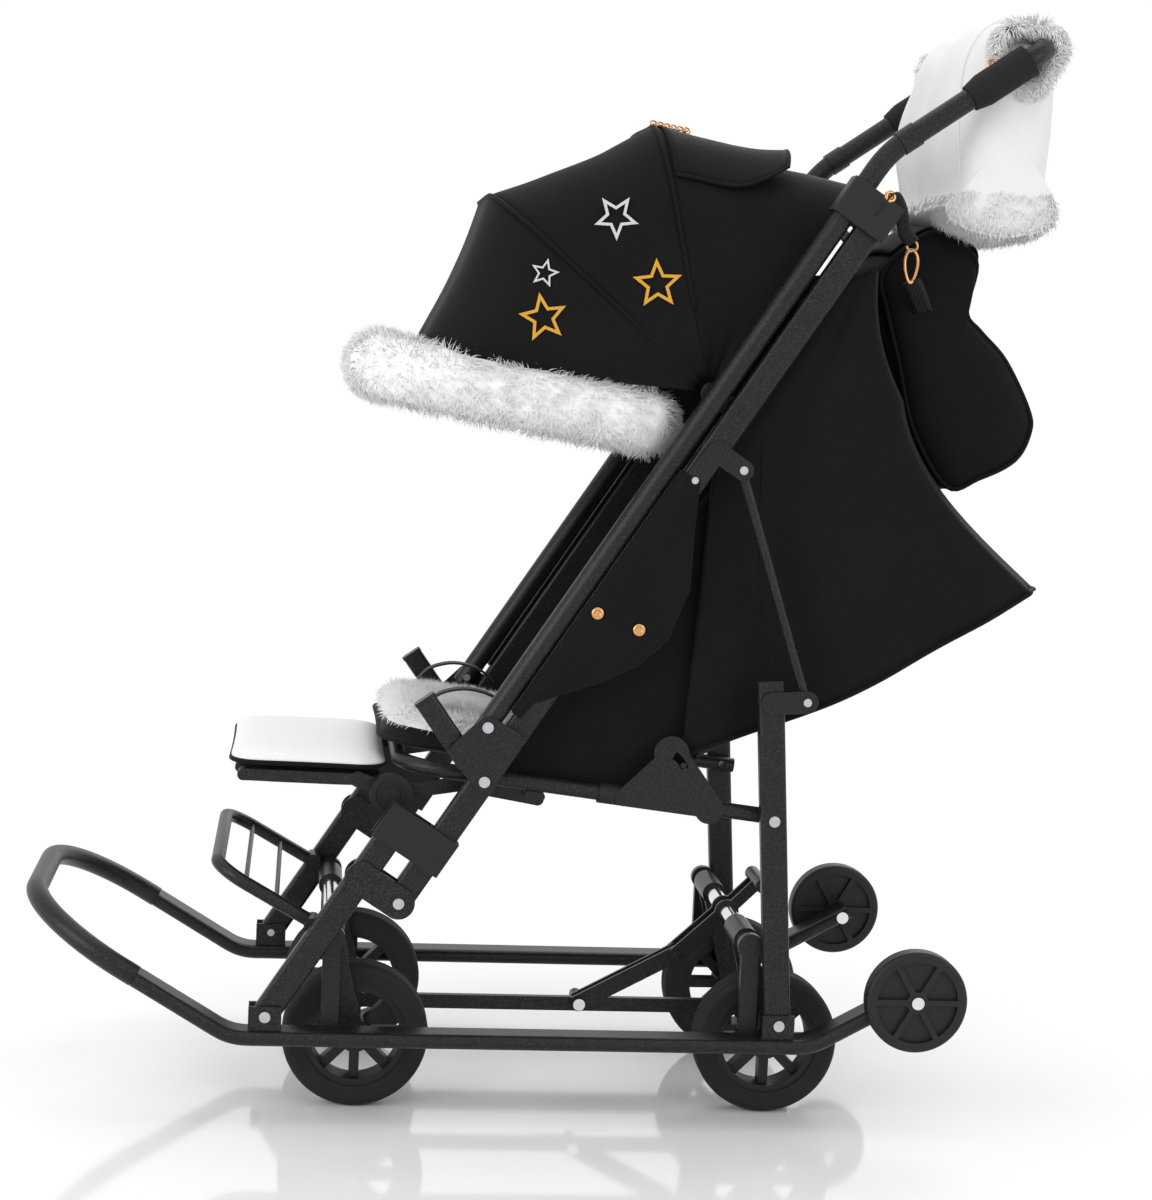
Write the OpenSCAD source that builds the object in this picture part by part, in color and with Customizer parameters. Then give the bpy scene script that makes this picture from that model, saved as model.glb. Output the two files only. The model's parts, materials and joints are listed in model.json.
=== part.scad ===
/* [Road wheels] */
// Diameter over the tyre
wheel_d = 150; // [140:1:156]
// Width of the tyre
tyre_w = 36; // [28:1:38]
// Diameter of the rim where the tyre sits
rim_d = 106; // [96:1:112]
// Diameter of the wheel hub
hub_d = 34; // [28:1:40]
// Number of spokes in a road wheel
spoke_n = 8; // [6:1:10]
// Distance between the middles of a left and a right wheel
wheel_track = 236; // [232:1:240]
// Distance between the front and the rear axle
wheelbase = 427; // [417:1:437]
// Diameter of the wheel axles
axle_d = 12; // [10:1:14]
// Front axle ahead of the part's origin
front_axle_x = -179; // [-183:1:-175]

/* [Runners] */
// Distance between the middles of the two runners
track = 360; // [358:1:364]
// Width of the flat oval runner tube
runner_w = 40; // [38:1:44]
// Height of the flat oval runner tube
runner_h = 15; // [13:1:17]
// Underside of the runners above the floor
ride_h = 79; // [77:1:82]
// Front bend of the runner ahead of the front axle
nose_bend = 109; // [107:1:114]
// Slope of the upturned nose
nose_rise = 31; // [28:1:33]
// Length of the upturned nose tube
nose_len = 96; // [90:1:104]
// Rear bend of the runner behind the rear axle
tail_bend = 20; // [18:1:26]
// Slope of the upturned tail
tail_rise = 29; // [27:0.5:31]
// Length of the upturned tail
tail_len = 111; // [106:1:116]
// Inner radius of the bends
bend_r = 60; // [50:1:80]
// Diameter of the round tow loop in front
loop_d = 22; // [18:1:22]
// Reach of the tow loop past the runner noses
loop_reach = 126; // [120:1:140]
// Corner radius of the tow loop
loop_r = 112; // [90:1:118]

/* [Carrying wheels] */
// Diameter of the small wheels on the runner tails
carry_d = 104; // [96:1:108]
// Width of the small wheels
carry_w = 22; // [18:1:24]
// Diameter of their bolts
carry_bolt_d = 8; // [6:1:10]

/* [Wheel lift] */
// Length of the swing arms between cross tube and axle
arm_len = 113.5; // [112:0.5:116]
// Lean of the swing arms
arm_lean = 14; // [13:0.5:15]
// Width of a swing arm
arm_w = 20; // [16:1:22]
// Thickness of a swing arm
arm_t = 5; // [4:0.5:6]
// Diameter of the chromed cross tubes
cross_d = 18; // [16:1:20]
// Wall of the swing arm hub on the cross tube
hub_wall = 4; // [3:0.5:5]
// Width of the upright posts
post_w = 18; // [16:1:20]
// Thickness of the upright posts
post_t = 10; // [8:0.5:10]
// Height of the tie bar
tie_h = 15; // [13:1:18]
// Thickness of the tie bar
tie_t = 8; // [6:1:9]
// Knee pin on the tie bar behind the front axle
knee_pin_run = 243; // [238:1:248]
// Length of the upper knee link
knee_up = 71.5; // [70:0.5:74]
// Direction of the upper knee link below the horizontal
knee_fall = 43; // [42:0.5:45]
// Width of the knee links
link_w = 18; // [15:1:20]
// Thickness of the knee links
link_t = 4; // [3:0.5:5]
// Length of the foot pedal
pedal_len = 48; // [40:1:56]
// Width of the foot pedal across the stroller
pedal_w = 70; // [56:1:90]
// Diameter of the wire of the lift spring
spring_wire = 2; // [1.6:0.1:2.2]
// Number of turns in the lift spring
spring_turns = 4; // [3:1:5]

/* [Folding frame] */
// Width of the frame tubes seen from the side
tube_w = 27; // [25:1:28]
// Thickness of the frame tubes across the stroller
tube_t = 16; // [14:1:18]
// Rounding of the frame tube edges
tube_r = 4; // [2:0.5:6]
// Wall of the sheet steel lugs and plates
plate_t = 3; // [2:0.5:3.5]
// Diameter of the pivot bolts
bolt_d = 8; // [6:1:9]
// Slope of the front legs and the main tubes
frame_angle = 57.4; // [56:0.2:59]
// Front leg pivot ahead of the front axle
leg_ahead = 92; // [90:1:96]
// Leg pivots above the runner
lug_rise = 14.5; // [14:0.5:16]
// Length of a front leg above its pivot
leg_len = 241; // [236:1:246]
// Main tube pivot along the front leg
leg_to_main = 169; // [165:1:173]
// Front leg axis to main tube axis
leg_gap = 45; // [44:0.5:47]
// Seat frame pivot along the main tube
main_to_seat = 149.5; // [146:0.5:153]
// Handle pivot along the main tube
main_to_handle = 196.5; // [194:0.5:200]
// Handle tube axis ahead of the main tube axis
handle_gap = 28.5; // [28:0.5:30]
// Strut pivot along the main tube
main_to_strut = 551.5; // [546:0.5:556]
// Strut pivot behind the main tube axis
strut_back = 34.5; // [32:0.5:38]
// Length of the main tube above its pivot
main_len = 826; // [818:1:834]
// Rear leg pivot behind the rear axle
leg_behind = 1.5; // [0:0.5:4]
// Forward lean of the rear legs
rear_lean = 4.1; // [3.5:0.1:4.7]
// Length of a rear leg above its pivot
rear_len = 354; // [348:1:360]
// Seat frame pivot along the rear leg
rear_to_seat = 211; // [207:1:215]
// Strut pivot along the rear leg
rear_to_strut = 331.5; // [328:0.5:335]
// Strut pivot behind the rear leg axis
rear_back = 35.5; // [33:0.5:38]
// Diameter of the strut rods
strut_d = 10; // [8:1:11]

/* [Seat] */
// Diameter of the seat frame tube
rail_d = 16; // [14:1:17]
// Seat frame tube inside the leg tubes
rail_in = 20; // [19:1:22]
// Reach of the seat frame ahead of its front pivot
rail_ahead = 84; // [78:1:90]
// Width of the seat cushion
seat_w = 276; // [260:1:280]
// Thickness of the seat cushion
seat_t = 34; // [28:1:36]
// Backrest pivot along the seat frame
recline_run = 179; // [175:1:183]
// Backrest pivot above the seat frame tube
recline_up = 27; // [25:1:29]
// Slope of the reclined backrest
recline_angle = 27.5; // [26:0.5:29]
// Travel of the backrest towards upright
recline_travel = 25; // [20:1:25]
// Length of the backrest
back_len = 424; // [412:1:428]
// Width of the backrest
back_w = 270; // [256:1:274]
// Thickness of the padded backrest
back_t = 34; // [28:1:38]
// Radius of the arc slot in the recline plate
slot_r = 25; // [24:1:27]
// Diameter of the recline pins
pin_d = 6; // [5:1:7]

/* [Calf rest] */
// Hinge ahead of the seat frame pivot
calf_ahead = 90; // [87:1:93]
// Hinge below the seat frame pivot
calf_drop = 25; // [23:1:26]
// Length of the calf pad
calf_len = 158; // [150:1:162]
// Width of the calf pad
calf_w = 264; // [250:1:270]
// Thickness of the calf pad
calf_t = 20; // [16:1:22]
// Diameter of the round hinge knobs
knob_d = 44; // [38:1:46]

/* [Foot step] */
// Diameter of the foot step tube
step_d = 14; // [12:1:15]
// Foot step fixing along the front leg
step_at = 98; // [97:1:101]
// Reach of the foot step ahead of the legs
step_reach = 112; // [106:1:116]
// Slope of the foot step
step_rise = 29.5; // [27:0.5:32]
// Corner radius of the foot step
step_r = 34; // [28:1:40]

/* [Handle] */
// Diameter of the handle tube
handle_d = 22; // [20:1:23]
// Straight length of the handle above its pivot
handle_len = 674; // [672:1:680]
// Angle of the bend under the grips
handle_bend = 22; // [18:1:26]
// Length of the handle behind the bend
handle_reach = 170; // [166:1:176]
// Corner radius of the handle
handle_r = 25; // [22:1:28]
// Diameter of the foam grips
grip_d = 34; // [30:1:36]
// Length of a foam grip
grip_len = 88; // [80:1:92]
// Slope of the front handle stops
stop_angle = 126; // [125:0.5:127]
// Length of the front handle stops
stop_len = 78; // [70:1:84]

/* [Tube locks] */
// Length of a lock sleeve along its tube
lock_len = 40; // [36:1:42]
// Wall of a lock sleeve
lock_wall = 3.5; // [3:0.5:4]
// Middle of the lower lock along the main tube
lock_low = 62; // [60:1:66]

/* [Hood] */
// Hood pivot along the main tube
main_to_hood = 597; // [592:1:602]
// Hood pivot ahead of the main tube axis
hood_ahead = 34; // [33:0.5:36]
// Half width of the hood over its front panel
hood_half = 158; // [154:1:160]
// Side step from one hood panel to the next
hood_step = 4; // [3.5:0.5:5]
// Thickness of the lined hood fabric
hood_wall = 2.5; // [2:0.5:3]
// Corner rounding of the hood
hood_round = 60; // [45:1:70]
// Angles of the front, middle, rear and last hoop about the pivot
hoop_angles = [163, 140, 103, 55];
// Reach of the front panel at its two hoops
front_reach = [297, 292];
// Reach of the middle panel at its two hoops
mid_reach = [279, 268];
// Reach of the rear panel at its two hoops
rear_reach = [253, 262];
// Thickness of the fur roll
fur_d = 60; // [54:1:62]
// Length of the fur roll along the hood side
fur_len = 226; // [216:1:232]

/* [Soft covers] */
// Half width of the rear cape
cape_half = 160; // [158:1:162]
// Thickness of the quilted cape
cape_t = 3; // [2.5:0.5:4]
// Depth of the hanging folds
fold_depth = 7; // [4:1:9]
// Number of folds across the cape
fold_n = 5; // [3:1:6]
// Width of the rear bag
bag_w = 170; // [156:1:174]
// Width of the hand muff
muff_w = 324; // [300:2:324]

/* [Hidden] */
$fn = 48;

// Radial clearance of turning and sliding fits
fit = 0.05;
// Clearance between flat faces that pass each other
gap = 0.4;
// Clearance between a wheel hub and its arms
hub_gap = 2;

half = track / 2;
wheel_y = wheel_track / 2;
axle_z = wheel_d / 2;
front_axle_p = [front_axle_x, axle_z];
rear_axle_p = [front_axle_x + wheelbase, axle_z];
runner_z = ride_h + runner_h / 2;
runner_top = ride_h + runner_h;
arm_v = arm_len * [-sin(arm_lean), cos(arm_lean)];
front_cross = front_axle_p + arm_v;
rear_cross = rear_axle_p + arm_v;

// Inner and outer face of the leg tubes
tube_in = half - tube_t / 2;
tube_out = half + tube_t / 2;
rail_y = half - rail_in;

// Point at distance d along a line of slope a, shifted off to its rear
function along(p, a, d, off) = p + d * [cos(a), sin(a)] + off * [sin(a), -cos(a)];
function slope(p, q) = atan2(q[1] - p[1], q[0] - p[0]);

// Pivots of the folding frame, as X and Z
leg_p = [front_axle_x - leg_ahead, runner_top + lug_rise];
rear_p = [front_axle_x + wheelbase + leg_behind, runner_top + lug_rise];
main_p = along(leg_p, frame_angle, leg_to_main, leg_gap);
seat_p = along(main_p, frame_angle, main_to_seat, 0);
handle_p = along(main_p, frame_angle, main_to_handle, -handle_gap);
strut_p = along(main_p, frame_angle, main_to_strut, strut_back);
hood_p = along(main_p, frame_angle, main_to_hood, -hood_ahead);
rear_angle = 90 + rear_lean;
rear_seat_p = along(rear_p, rear_angle, rear_to_seat, 0);
rear_strut_p = along(rear_p, rear_angle, rear_to_strut, rear_back);
rail_angle = slope(seat_p, rear_seat_p);
rail_len = norm(rear_seat_p - seat_p);
strut_angle = slope(strut_p, rear_strut_p);
strut_len = norm(rear_strut_p - strut_p);
recline_p = along(seat_p, rail_angle, recline_run, -recline_up);
calf_p = seat_p + [-calf_ahead, -calf_drop];

// Knee linkage of the wheel lift
tie_pin_p = front_axle_p + [knee_pin_run, 5];
knee_p = rear_cross - knee_up * [cos(knee_fall), sin(knee_fall)];
tie_y = tie_t / 2;
lower_y = tie_y + gap;
upper_y = lower_y + link_t + gap;

// Y faces of the lift
post_in = half - runner_w / 2 + 1;
arm_out_y = wheel_y + tyre_w / 2 + hub_gap;
arm_in_y = wheel_y - tyre_w / 2 - hub_gap - arm_t;

// Puts children at a point of the side view
module at(p, y = 0) {
    translate([p[0], y, p[1]]) children();
}

// The right half and its mirror image on the left
module both() {
    children();
    mirror([0, 1, 0]) children();
}

// A round bar across the stroller
module bar_y(p, y0, y1, d) {
    at(p, y0) rotate([-90, 0, 0]) cylinder(d = d, h = y1 - y0);
}

// A side view outline given a thickness across the stroller
module slab_y(y0, y1) {
    translate([0, y1, 0]) rotate([90, 0, 0]) linear_extrude(y1 - y0) children();
}

// A strap outline with round ends
module strap(p, q, w) {
    translate(p) circle(d = w);
    translate(q) circle(d = w);
    translate(p) rotate(slope(p, q)) translate([0, 0.15 - w / 2]) square([norm(q - p), w - 0.3]);
}

// A rectangle with rounded corners, centred
module round_rect(w, h, r) {
    square([w - 2 * r, h], center = true);
    square([w, h - 2 * r], center = true);
    for (sx = [-1, 1], sy = [-1, 1])
        translate([sx * (w / 2 - r), sy * (h / 2 - r)]) circle(r = r);
}

// A flat oval, centred
module flat_oval(w, h) {
    square([w - h, h], center = true);
    for (s = [-1, 1]) translate([s * (w - h) / 2, 0]) circle(d = h);
}

// A bend of the profile upwards, starting along X
module bend(r, a) {
    translate([0, 0, r]) rotate([90, 90, 0]) rotate_extrude(angle = a) translate([r, 0]) children();
}

// A flat oval runner along steps of [length, turn, radius]
module runner_sweep(steps, k = 0) {
    if (k < len(steps)) {
        s = steps[k];
        rotate([90, 0, 90]) linear_extrude(s[0]) flat_oval(runner_w, runner_h);
        translate([s[0], 0, 0]) {
            if (s[1] != 0) bend(s[2], s[1]) rotate(90) flat_oval(runner_w, runner_h);
            translate([s[2] * sin(s[1]), 0, s[2] * (1 - cos(s[1]))])
                rotate([0, -s[1], 0]) runner_sweep(steps, k + 1);
        }
    }
}

// A tube along steps of [length, turn, radius, roll before the turn]
module sweep(steps, k = 0) {
    if (k < len(steps)) {
        s = steps[k];
        rotate([s[3], 0, 0]) {
            if (s[0] > 0) rotate([90, 0, 90]) linear_extrude(s[0]) children();
            translate([s[0], 0, 0]) {
                if (s[1] != 0) bend(s[2], s[1]) children();
                translate([s[2] * sin(s[1]), 0, s[2] * (1 - cos(s[1]))])
                    rotate([0, -s[1], 0]) sweep(steps, k + 1) children();
            }
        }
    }
}

// A frame tube from p, over a length, at slope a
module frame_tube(p, a, from, to, y = half) {
    at(p, y) rotate([0, -a, 0]) translate([from, 0, 0])
        rotate([90, 0, 90]) linear_extrude(to - from) round_rect(tube_t, tube_w, tube_r);
}

// A bolt across the stroller with a domed head outside
module bolt_y(p, y0, y1, d) {
    bar_y(p, y0, y1, d);
    bar_y(p, y1, y1 + d * 0.4, d * 1.4);
}

// Closed grid of points made solid, top rows first and bottom rows after
module grid_solid(top, bottom) {
    n = len(top);
    m = len(top[0]);
    pts = concat([for (r = top) each r], [for (r = bottom) each r]);
    o = n * m;
    quads = concat(
        [for (i = [0 : n - 2], j = [0 : m - 2]) each let (a = i * m + j)
            [[a, a + 1, a + m + 1], [a, a + m + 1, a + m]]],
        [for (i = [0 : n - 2], j = [0 : m - 2]) each let (a = o + i * m + j)
            [[a, a + m + 1, a + 1], [a, a + m, a + m + 1]]],
        [for (i = [0 : n - 2]) each let (a = i * m, b = a + m)
            [[a, b, o + b], [a, o + b, o + a]]],
        [for (i = [0 : n - 2]) each let (a = i * m + m - 1, b = a + m)
            [[a, o + b, b], [a, o + a, o + b]]],
        [for (j = [0 : m - 2]) each let (a = j, b = j + 1)
            [[a, o + b, b], [a, o + a, o + b]]],
        [for (j = [0 : m - 2]) each let (a = (n - 1) * m + j, b = a + 1)
            [[a, b, o + b], [a, o + b, o + a]]]);
    polyhedron(points = pts, faces = quads, convexity = 6);
}

// Height share of a crowned pad at a place from 0 to 1 each way, with cross channels
function crown(u, v, channels) =
    let (c = pow(max(0.0001, sin(180 * u) * sin(180 * v)), 0.35))
    c - 0.16 * len([for (k = channels) if (abs(u - k) < 0.02) k]);

// A crowned pad with drawn-in sides, lying from X = 0, flat underneath
module pad(l, w, t, channels = [], n = 20, m = 12) {
    edge = 0.3 * t;
    pull = 0.025;
    top = [for (i = [0 : n]) [for (j = [0 : m]) let (u = i / n, v = j / m)
        [l * (u + pull * (1 - 2 * u) * sin(180 * v)),
         w * (v - 0.5) * (1 - 2 * pull * sin(180 * u)),
         edge + (t - edge) * crown(u, v, channels)]]];
    bottom = [for (r = top) [for (q = r) [q[0], q[1], 0]]];
    grid_solid(top, bottom);
}

// Runners and the tow loop
module runners() {
    color("#1b1b1d") both() difference() {
        at(nose_tip, half) rotate([0, nose_rise, 0])
            runner_sweep([[nose_len, nose_rise, bend_r], [runner_flat, tail_rise, bend_r], [tail_len, 0, 0]]);
        bar_y(carry_p, 0, track, carry_bolt_d);
    }
}
runner_flat = nose_bend + wheelbase + tail_bend;
nose_tip = [front_axle_x - nose_bend, runner_z]
    + bend_r * [-sin(nose_rise), 1 - cos(nose_rise)] + nose_len * [-cos(nose_rise), sin(nose_rise)];
tail_start = [front_axle_x + wheelbase + tail_bend, runner_z]
    + bend_r * [sin(tail_rise), 1 - cos(tail_rise)];
carry_p = tail_start + (tail_len - runner_h * 0.7) * [cos(tail_rise), sin(tail_rise)];
loop_flat = track - 2 * loop_r;

module tow_loop() {
    color("#1b1b1d") at(nose_tip, half) mirror([1, 0, 0]) rotate([0, -nose_rise, 0])
        sweep([[loop_reach - loop_r, 90, loop_r, 90], [loop_flat, 90, loop_r, 0], [loop_reach - loop_r, 0, 0, 0]])
            circle(d = loop_d);
}

lug_w = tube_w + 6;
lug_top = lug_rise + 10;
// Pairs of cheeks on the runners that carry the legs
module leg_lugs() {
    color("#202022") both() for (p = [leg_p, rear_p], y = [tube_in - gap - plate_t, tube_out + gap])
        difference() {
            translate([p[0] - lug_w / 2, y, runner_top]) cube([lug_w, plate_t, lug_top]);
            bar_y(p, 0, track, bolt_d);
        }
}

module lug_bolts() {
    color("#c9cacc") both() for (p = [leg_p, rear_p])
        bolt_y(p, tube_in - gap - plate_t, tube_out + gap + plate_t, bolt_d);
}

// Uprights on the runners, with rounded caps round the cross tubes
module lift_posts() {
    color("#1b1b1d") both() for (p = [front_cross, rear_cross])
        slab_y(post_in, post_in + post_t) {
            translate([p[0] - post_w / 2, runner_top]) square([post_w, p[1] - runner_top]);
            translate(p) circle(d = post_w + 8);
            translate([p[0] - post_w / 2 - 2, runner_top]) square([post_w + 4, plate_t]);
        }
}

module cross_tubes() {
    color("#d5d7da") for (p = [front_cross, rear_cross])
        bar_y(p, -post_in, post_in, cross_d);
}

carry_in = half + runner_w / 2 + gap;
carry_head = carry_in + carry_w + 1;
module carry_axles() {
    color("#d5d7da") both() {
        bar_y(carry_p, half - runner_w / 2 - 4, carry_head, carry_bolt_d);
        bar_y(carry_p, half - runner_w / 2 - 4, half - runner_w / 2, carry_bolt_d * 1.7);
        at(carry_p, carry_head) rotate([-90, 0, 0]) cylinder(d = carry_bolt_d * 1.6, h = 1.6);
    }
}

// Swing arms inside and outside each wheel, on one hub round the cross tube
module swing_arms(cross, axle) {
    hub_od = cross_d + 2 * hub_wall;
    both() difference() {
        union() {
            bar_y(cross, arm_in_y - 16, arm_out_y + arm_t, hub_od);
            slab_y(arm_in_y, arm_in_y + arm_t) strap(cross, axle, arm_w);
            slab_y(arm_out_y, arm_out_y + arm_t) strap(cross, axle, arm_w);
        }
        bar_y(cross, 0, half, cross_d + 2 * fit);
        bar_y(axle, 0, half, axle_d);
    }
}
module front_swing_arms() { color("#262628") swing_arms(front_cross, front_axle_p); }
module rear_swing_arms() { color("#262628") swing_arms(rear_cross, rear_axle_p); }

// Axle through both swing arms, with a nut outside each
module lift_axle(p) {
    end = arm_out_y + arm_t;
    bar_y(p, -end, end, axle_d);
    both() bar_y(p, end, end + 5, axle_d * 1.5);
}
module front_axle() { color("#8e9094") lift_axle(front_axle_p); }
module rear_axle() { color("#8e9094") lift_axle(rear_axle_p); }

// Bar that ties the two axles, with an eye round each
module tie_bar() {
    eye = axle_d + 8;
    color("#1b1b1d") difference() {
        slab_y(-tie_y, tie_y) {
            translate(front_axle_p) circle(d = eye);
            translate(rear_axle_p) circle(d = eye);
            translate([front_axle_p[0], axle_z + 3 - tie_h / 2]) square([wheelbase, tie_h]);
        }
        for (p = [front_axle_p, rear_axle_p]) bar_y(p, -half, half, axle_d + 2 * fit);
        bar_y(tie_pin_p, -half, half, bolt_d);
    }
}

pin_end = upper_y + link_t;
coil_y0 = pin_end + 2;
coil_pitch = spring_wire * 1.5;
coil_r = bolt_d / 2 + spring_wire / 2 + 0.3;
coil_y1 = coil_y0 + spring_turns * coil_pitch + spring_wire * 2;
module knee_pin() {
    color("#d5d7da") {
        bar_y(tie_pin_p, -pin_end, coil_y1 + 1, bolt_d);
        bar_y(tie_pin_p, coil_y1 + 1, coil_y1 + 4, bolt_d * 1.6);
        bar_y(tie_pin_p, -pin_end - 3, -pin_end, bolt_d * 1.6);
    }
}

// Torsion spring on the knee pin: two legs and a helix, as one swept wire
coil_steps = 8;
spring_leg = 46;
spring_path = concat(
    [[-spring_leg, 0, -10], [-spring_leg / 2, 0, -7], [-coil_r * 1.2, 0, -coil_r * 1.06]],
    [for (k = [0 : spring_turns * coil_steps]) let (a = 270 + 360 * k / coil_steps)
        [coil_r * cos(a), spring_wire + coil_pitch * k / coil_steps, coil_r * sin(a)]],
    [[coil_r * 1.2, 2 * spring_wire + spring_turns * coil_pitch, -coil_r * 1.06],
     [spring_leg / 2, 2 * spring_wire + spring_turns * coil_pitch, -7],
     [spring_leg, 2 * spring_wire + spring_turns * coil_pitch, -10]]);
function unit(v) = v / norm(v);
function ring(path, k, r, sides) =
    let (a = path[max(0, k - 1)], b = path[min(len(path) - 1, k + 1)], d = unit(b - a),
         s = unit(cross(d, [0.12, 1, 0.05])), t = cross(s, d))
    [for (i = [0 : sides - 1]) path[k] + r * (cos(360 * i / sides) * s + sin(360 * i / sides) * t)];
module wire(path, r, sides) {
    n = len(path);
    pts = [for (k = [0 : n - 1]) each ring(path, k, r, sides)];
    walls = [for (k = [0 : n - 2], i = [0 : sides - 1]) each
        let (a = k * sides + i, b = k * sides + (i + 1) % sides)
        [[a, b, b + sides], [a, b + sides, a + sides]]];
    caps = concat([for (i = [1 : sides - 2]) [0, i + 1, i]],
        [for (i = [1 : sides - 2]) [for (c = [0, i, i + 1]) (n - 1) * sides + c]]);
    polyhedron(points = pts, faces = concat(walls, [for (c = caps) [c[0], c[1], c[2]]]), convexity = 8);
}
module lift_spring() {
    color("#b9bbbf") at(tie_pin_p, coil_y0) wire(spring_path, spring_wire / 2, 6);
}
echo(spring_least_gap = coil_pitch - spring_wire);

// Upper knee link: two straps round the rear cross tube, the rivet and the pedal
module pedal_link() {
    pedal_p = rear_cross + pedal_len * [cos(45), sin(45)];
    color("#1b1b1d") difference() {
        union() {
            both() slab_y(upper_y, upper_y + link_t) {
                strap(rear_cross, knee_p, link_w);
                strap(rear_cross, pedal_p, link_w * 0.7);
                translate(rear_cross) circle(d = cross_d + 2 * hub_wall);
            }
            both() bar_y(knee_p, upper_y + link_t, upper_y + link_t + 3, bolt_d * 1.5);
            bar_y(pedal_p, -pedal_w / 2, pedal_w / 2, link_w * 0.7 + 3);
        }
        bar_y(rear_cross, -half, half, cross_d + 2 * fit);
    }
}

// Lower knee link: two straps on the pin of the tie bar
module lower_link() {
    color("#1b1b1d") difference() {
        both() slab_y(lower_y, lower_y + link_t) strap(tie_pin_p, knee_p, link_w);
        bar_y(tie_pin_p, -half, half, bolt_d + 2 * fit);
    }
}

// Tyre with a rounded tread and two running grooves, centred on its axle
module tyre_ring() {
    side = tyre_w / 2;
    ro = wheel_d / 2;
    ri = rim_d / 2;
    rotate([-90, 0, 0]) rotate_extrude() difference() {
        union() {
            translate([ri, -side]) square([ro - ri - 9, tyre_w]);
            translate([ro - 9.5, -side + 9]) square([9.5, tyre_w - 18]);
            for (s = [-1, 1]) translate([ro - 9, s * (side - 9)]) circle(r = 9);
        }
        for (s = [-1, 1]) translate([ro, s * tyre_w / 8]) circle(r = 2);
    }
}

// Spoked plastic rim with a bored hub
module rim_disc() {
    rim_r = rim_d / 2;
    lip = 7;
    hub_l = tyre_w;
    difference() {
        rotate([-90, 0, 0]) {
            rotate_extrude() translate([rim_r - lip, -tyre_w / 2 + 2]) square([lip, tyre_w - 4]);
            translate([0, 0, -hub_l / 2]) cylinder(d = hub_d, h = hub_l);
            for (k = [0 : spoke_n - 1]) rotate(k * 360 / spoke_n) translate([0, 0, -tyre_w / 4])
                linear_extrude(tyre_w / 2) translate([hub_d / 2 - 3, -5])
                    square([rim_r - lip - hub_d / 2 + 5, 10]);
        }
        bar_y([0, 0], -tyre_w, tyre_w, axle_d + 2 * fit);
    }
}
module tyre(p, side) { color("#19191a") at(p, side * wheel_y) tyre_ring(); }
module rim(p, side) { color("#242426") at(p, side * wheel_y) rim_disc(); }
module front_left_tyre() { tyre(front_axle_p, -1); }
module front_left_rim() { rim(front_axle_p, -1); }
module front_right_tyre() { tyre(front_axle_p, 1); }
module front_right_rim() { rim(front_axle_p, 1); }
module rear_left_tyre() { tyre(rear_axle_p, -1); }
module rear_left_rim() { rim(rear_axle_p, -1); }
module rear_right_tyre() { tyre(rear_axle_p, 1); }
module rear_right_rim() { rim(rear_axle_p, 1); }

// Small solid wheel with six sunk fields
module carry_wheel() {
    r = carry_d / 2;
    hub_r = 11;
    sunk = 5;
    web = 6;
    color("#1c1c1e") at(carry_p, carry_in) rotate([-90, 0, 0]) difference() {
        rotate_extrude() {
            square([r - 4, carry_w]);
            translate([0, 4]) square([r, carry_w - 8]);
            for (z = [4, carry_w - 4]) translate([r - 4, z]) circle(r = 4);
        }
        for (z = [-1, carry_w - sunk]) translate([0, 0, z]) linear_extrude(sunk + 1) difference() {
            circle(r = r * 0.8);
            circle(r = hub_r);
            for (k = [0 : 2]) rotate(k * 60) square([2 * r, web], center = true);
        }
        translate([0, 0, -1]) cylinder(d = carry_bolt_d + 2 * fit, h = carry_w + 2);
    }
}
module carry_wheel_right() { carry_wheel(); }
module carry_wheel_left() { mirror([0, 1, 0]) carry_wheel(); }

// Front legs with the welded tabs that carry the main tube pivots
module front_legs() {
    tab_root = along(leg_p, frame_angle, leg_to_main, 0);
    tab_w = tube_w + 6;
    color("#1d1d1f") both() difference() {
        union() {
            frame_tube(leg_p, frame_angle, 0, leg_len);
            bar_y(leg_p, tube_in + 0.5, tube_out - 0.5, tube_w - 1);
            for (y = [tube_in - gap - plate_t, tube_out + gap])
                slab_y(y, y + plate_t) strap(tab_root, main_p, tab_w);
            slab_y(tube_in - gap - plate_t, tube_out + gap + plate_t)
                strap(along(tab_root, frame_angle, -8, -2), along(tab_root, frame_angle, 8, -2), tube_w - 8);
        }
        bar_y(leg_p, 0, track, bolt_d + 2 * fit);
        bar_y(main_p, 0, track, bolt_d);
    }
}

step_p = along(leg_p, frame_angle, step_at, -10);
step_tip = step_p + step_reach * [-cos(step_rise), sin(step_rise)];
step_y = tube_in;
// Bent tube foot step with two cross wires, fixed to the inner faces of the front legs
module foot_step() {
    arm = step_reach - step_r;
    arm_y = half - runner_w / 2 - step_d / 2 - 1.5;
    wire_d = 5;
    color("#1d1d1f") {
        at(step_p, arm_y) mirror([1, 0, 0]) rotate([0, -step_rise, 0])
            sweep([[arm, 90, step_r, 90], [2 * (arm_y - step_r), 90, step_r, 0], [arm, 0, 0, 0]])
                circle(d = step_d);
        both() bar_y(step_p, arm_y - step_d / 2 - 2, step_y, step_d + 3.5);
        for (d = [0.38, 0.7])
            bar_y(step_p + d * step_reach * [-cos(step_rise), sin(step_rise)], -arm_y, arm_y, wire_d);
    }
}

module main_pivot_bolts() {
    color("#c9cacc") both() bolt_y(main_p, tube_in - gap - plate_t, tube_out + gap + plate_t, bolt_d);
}

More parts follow.
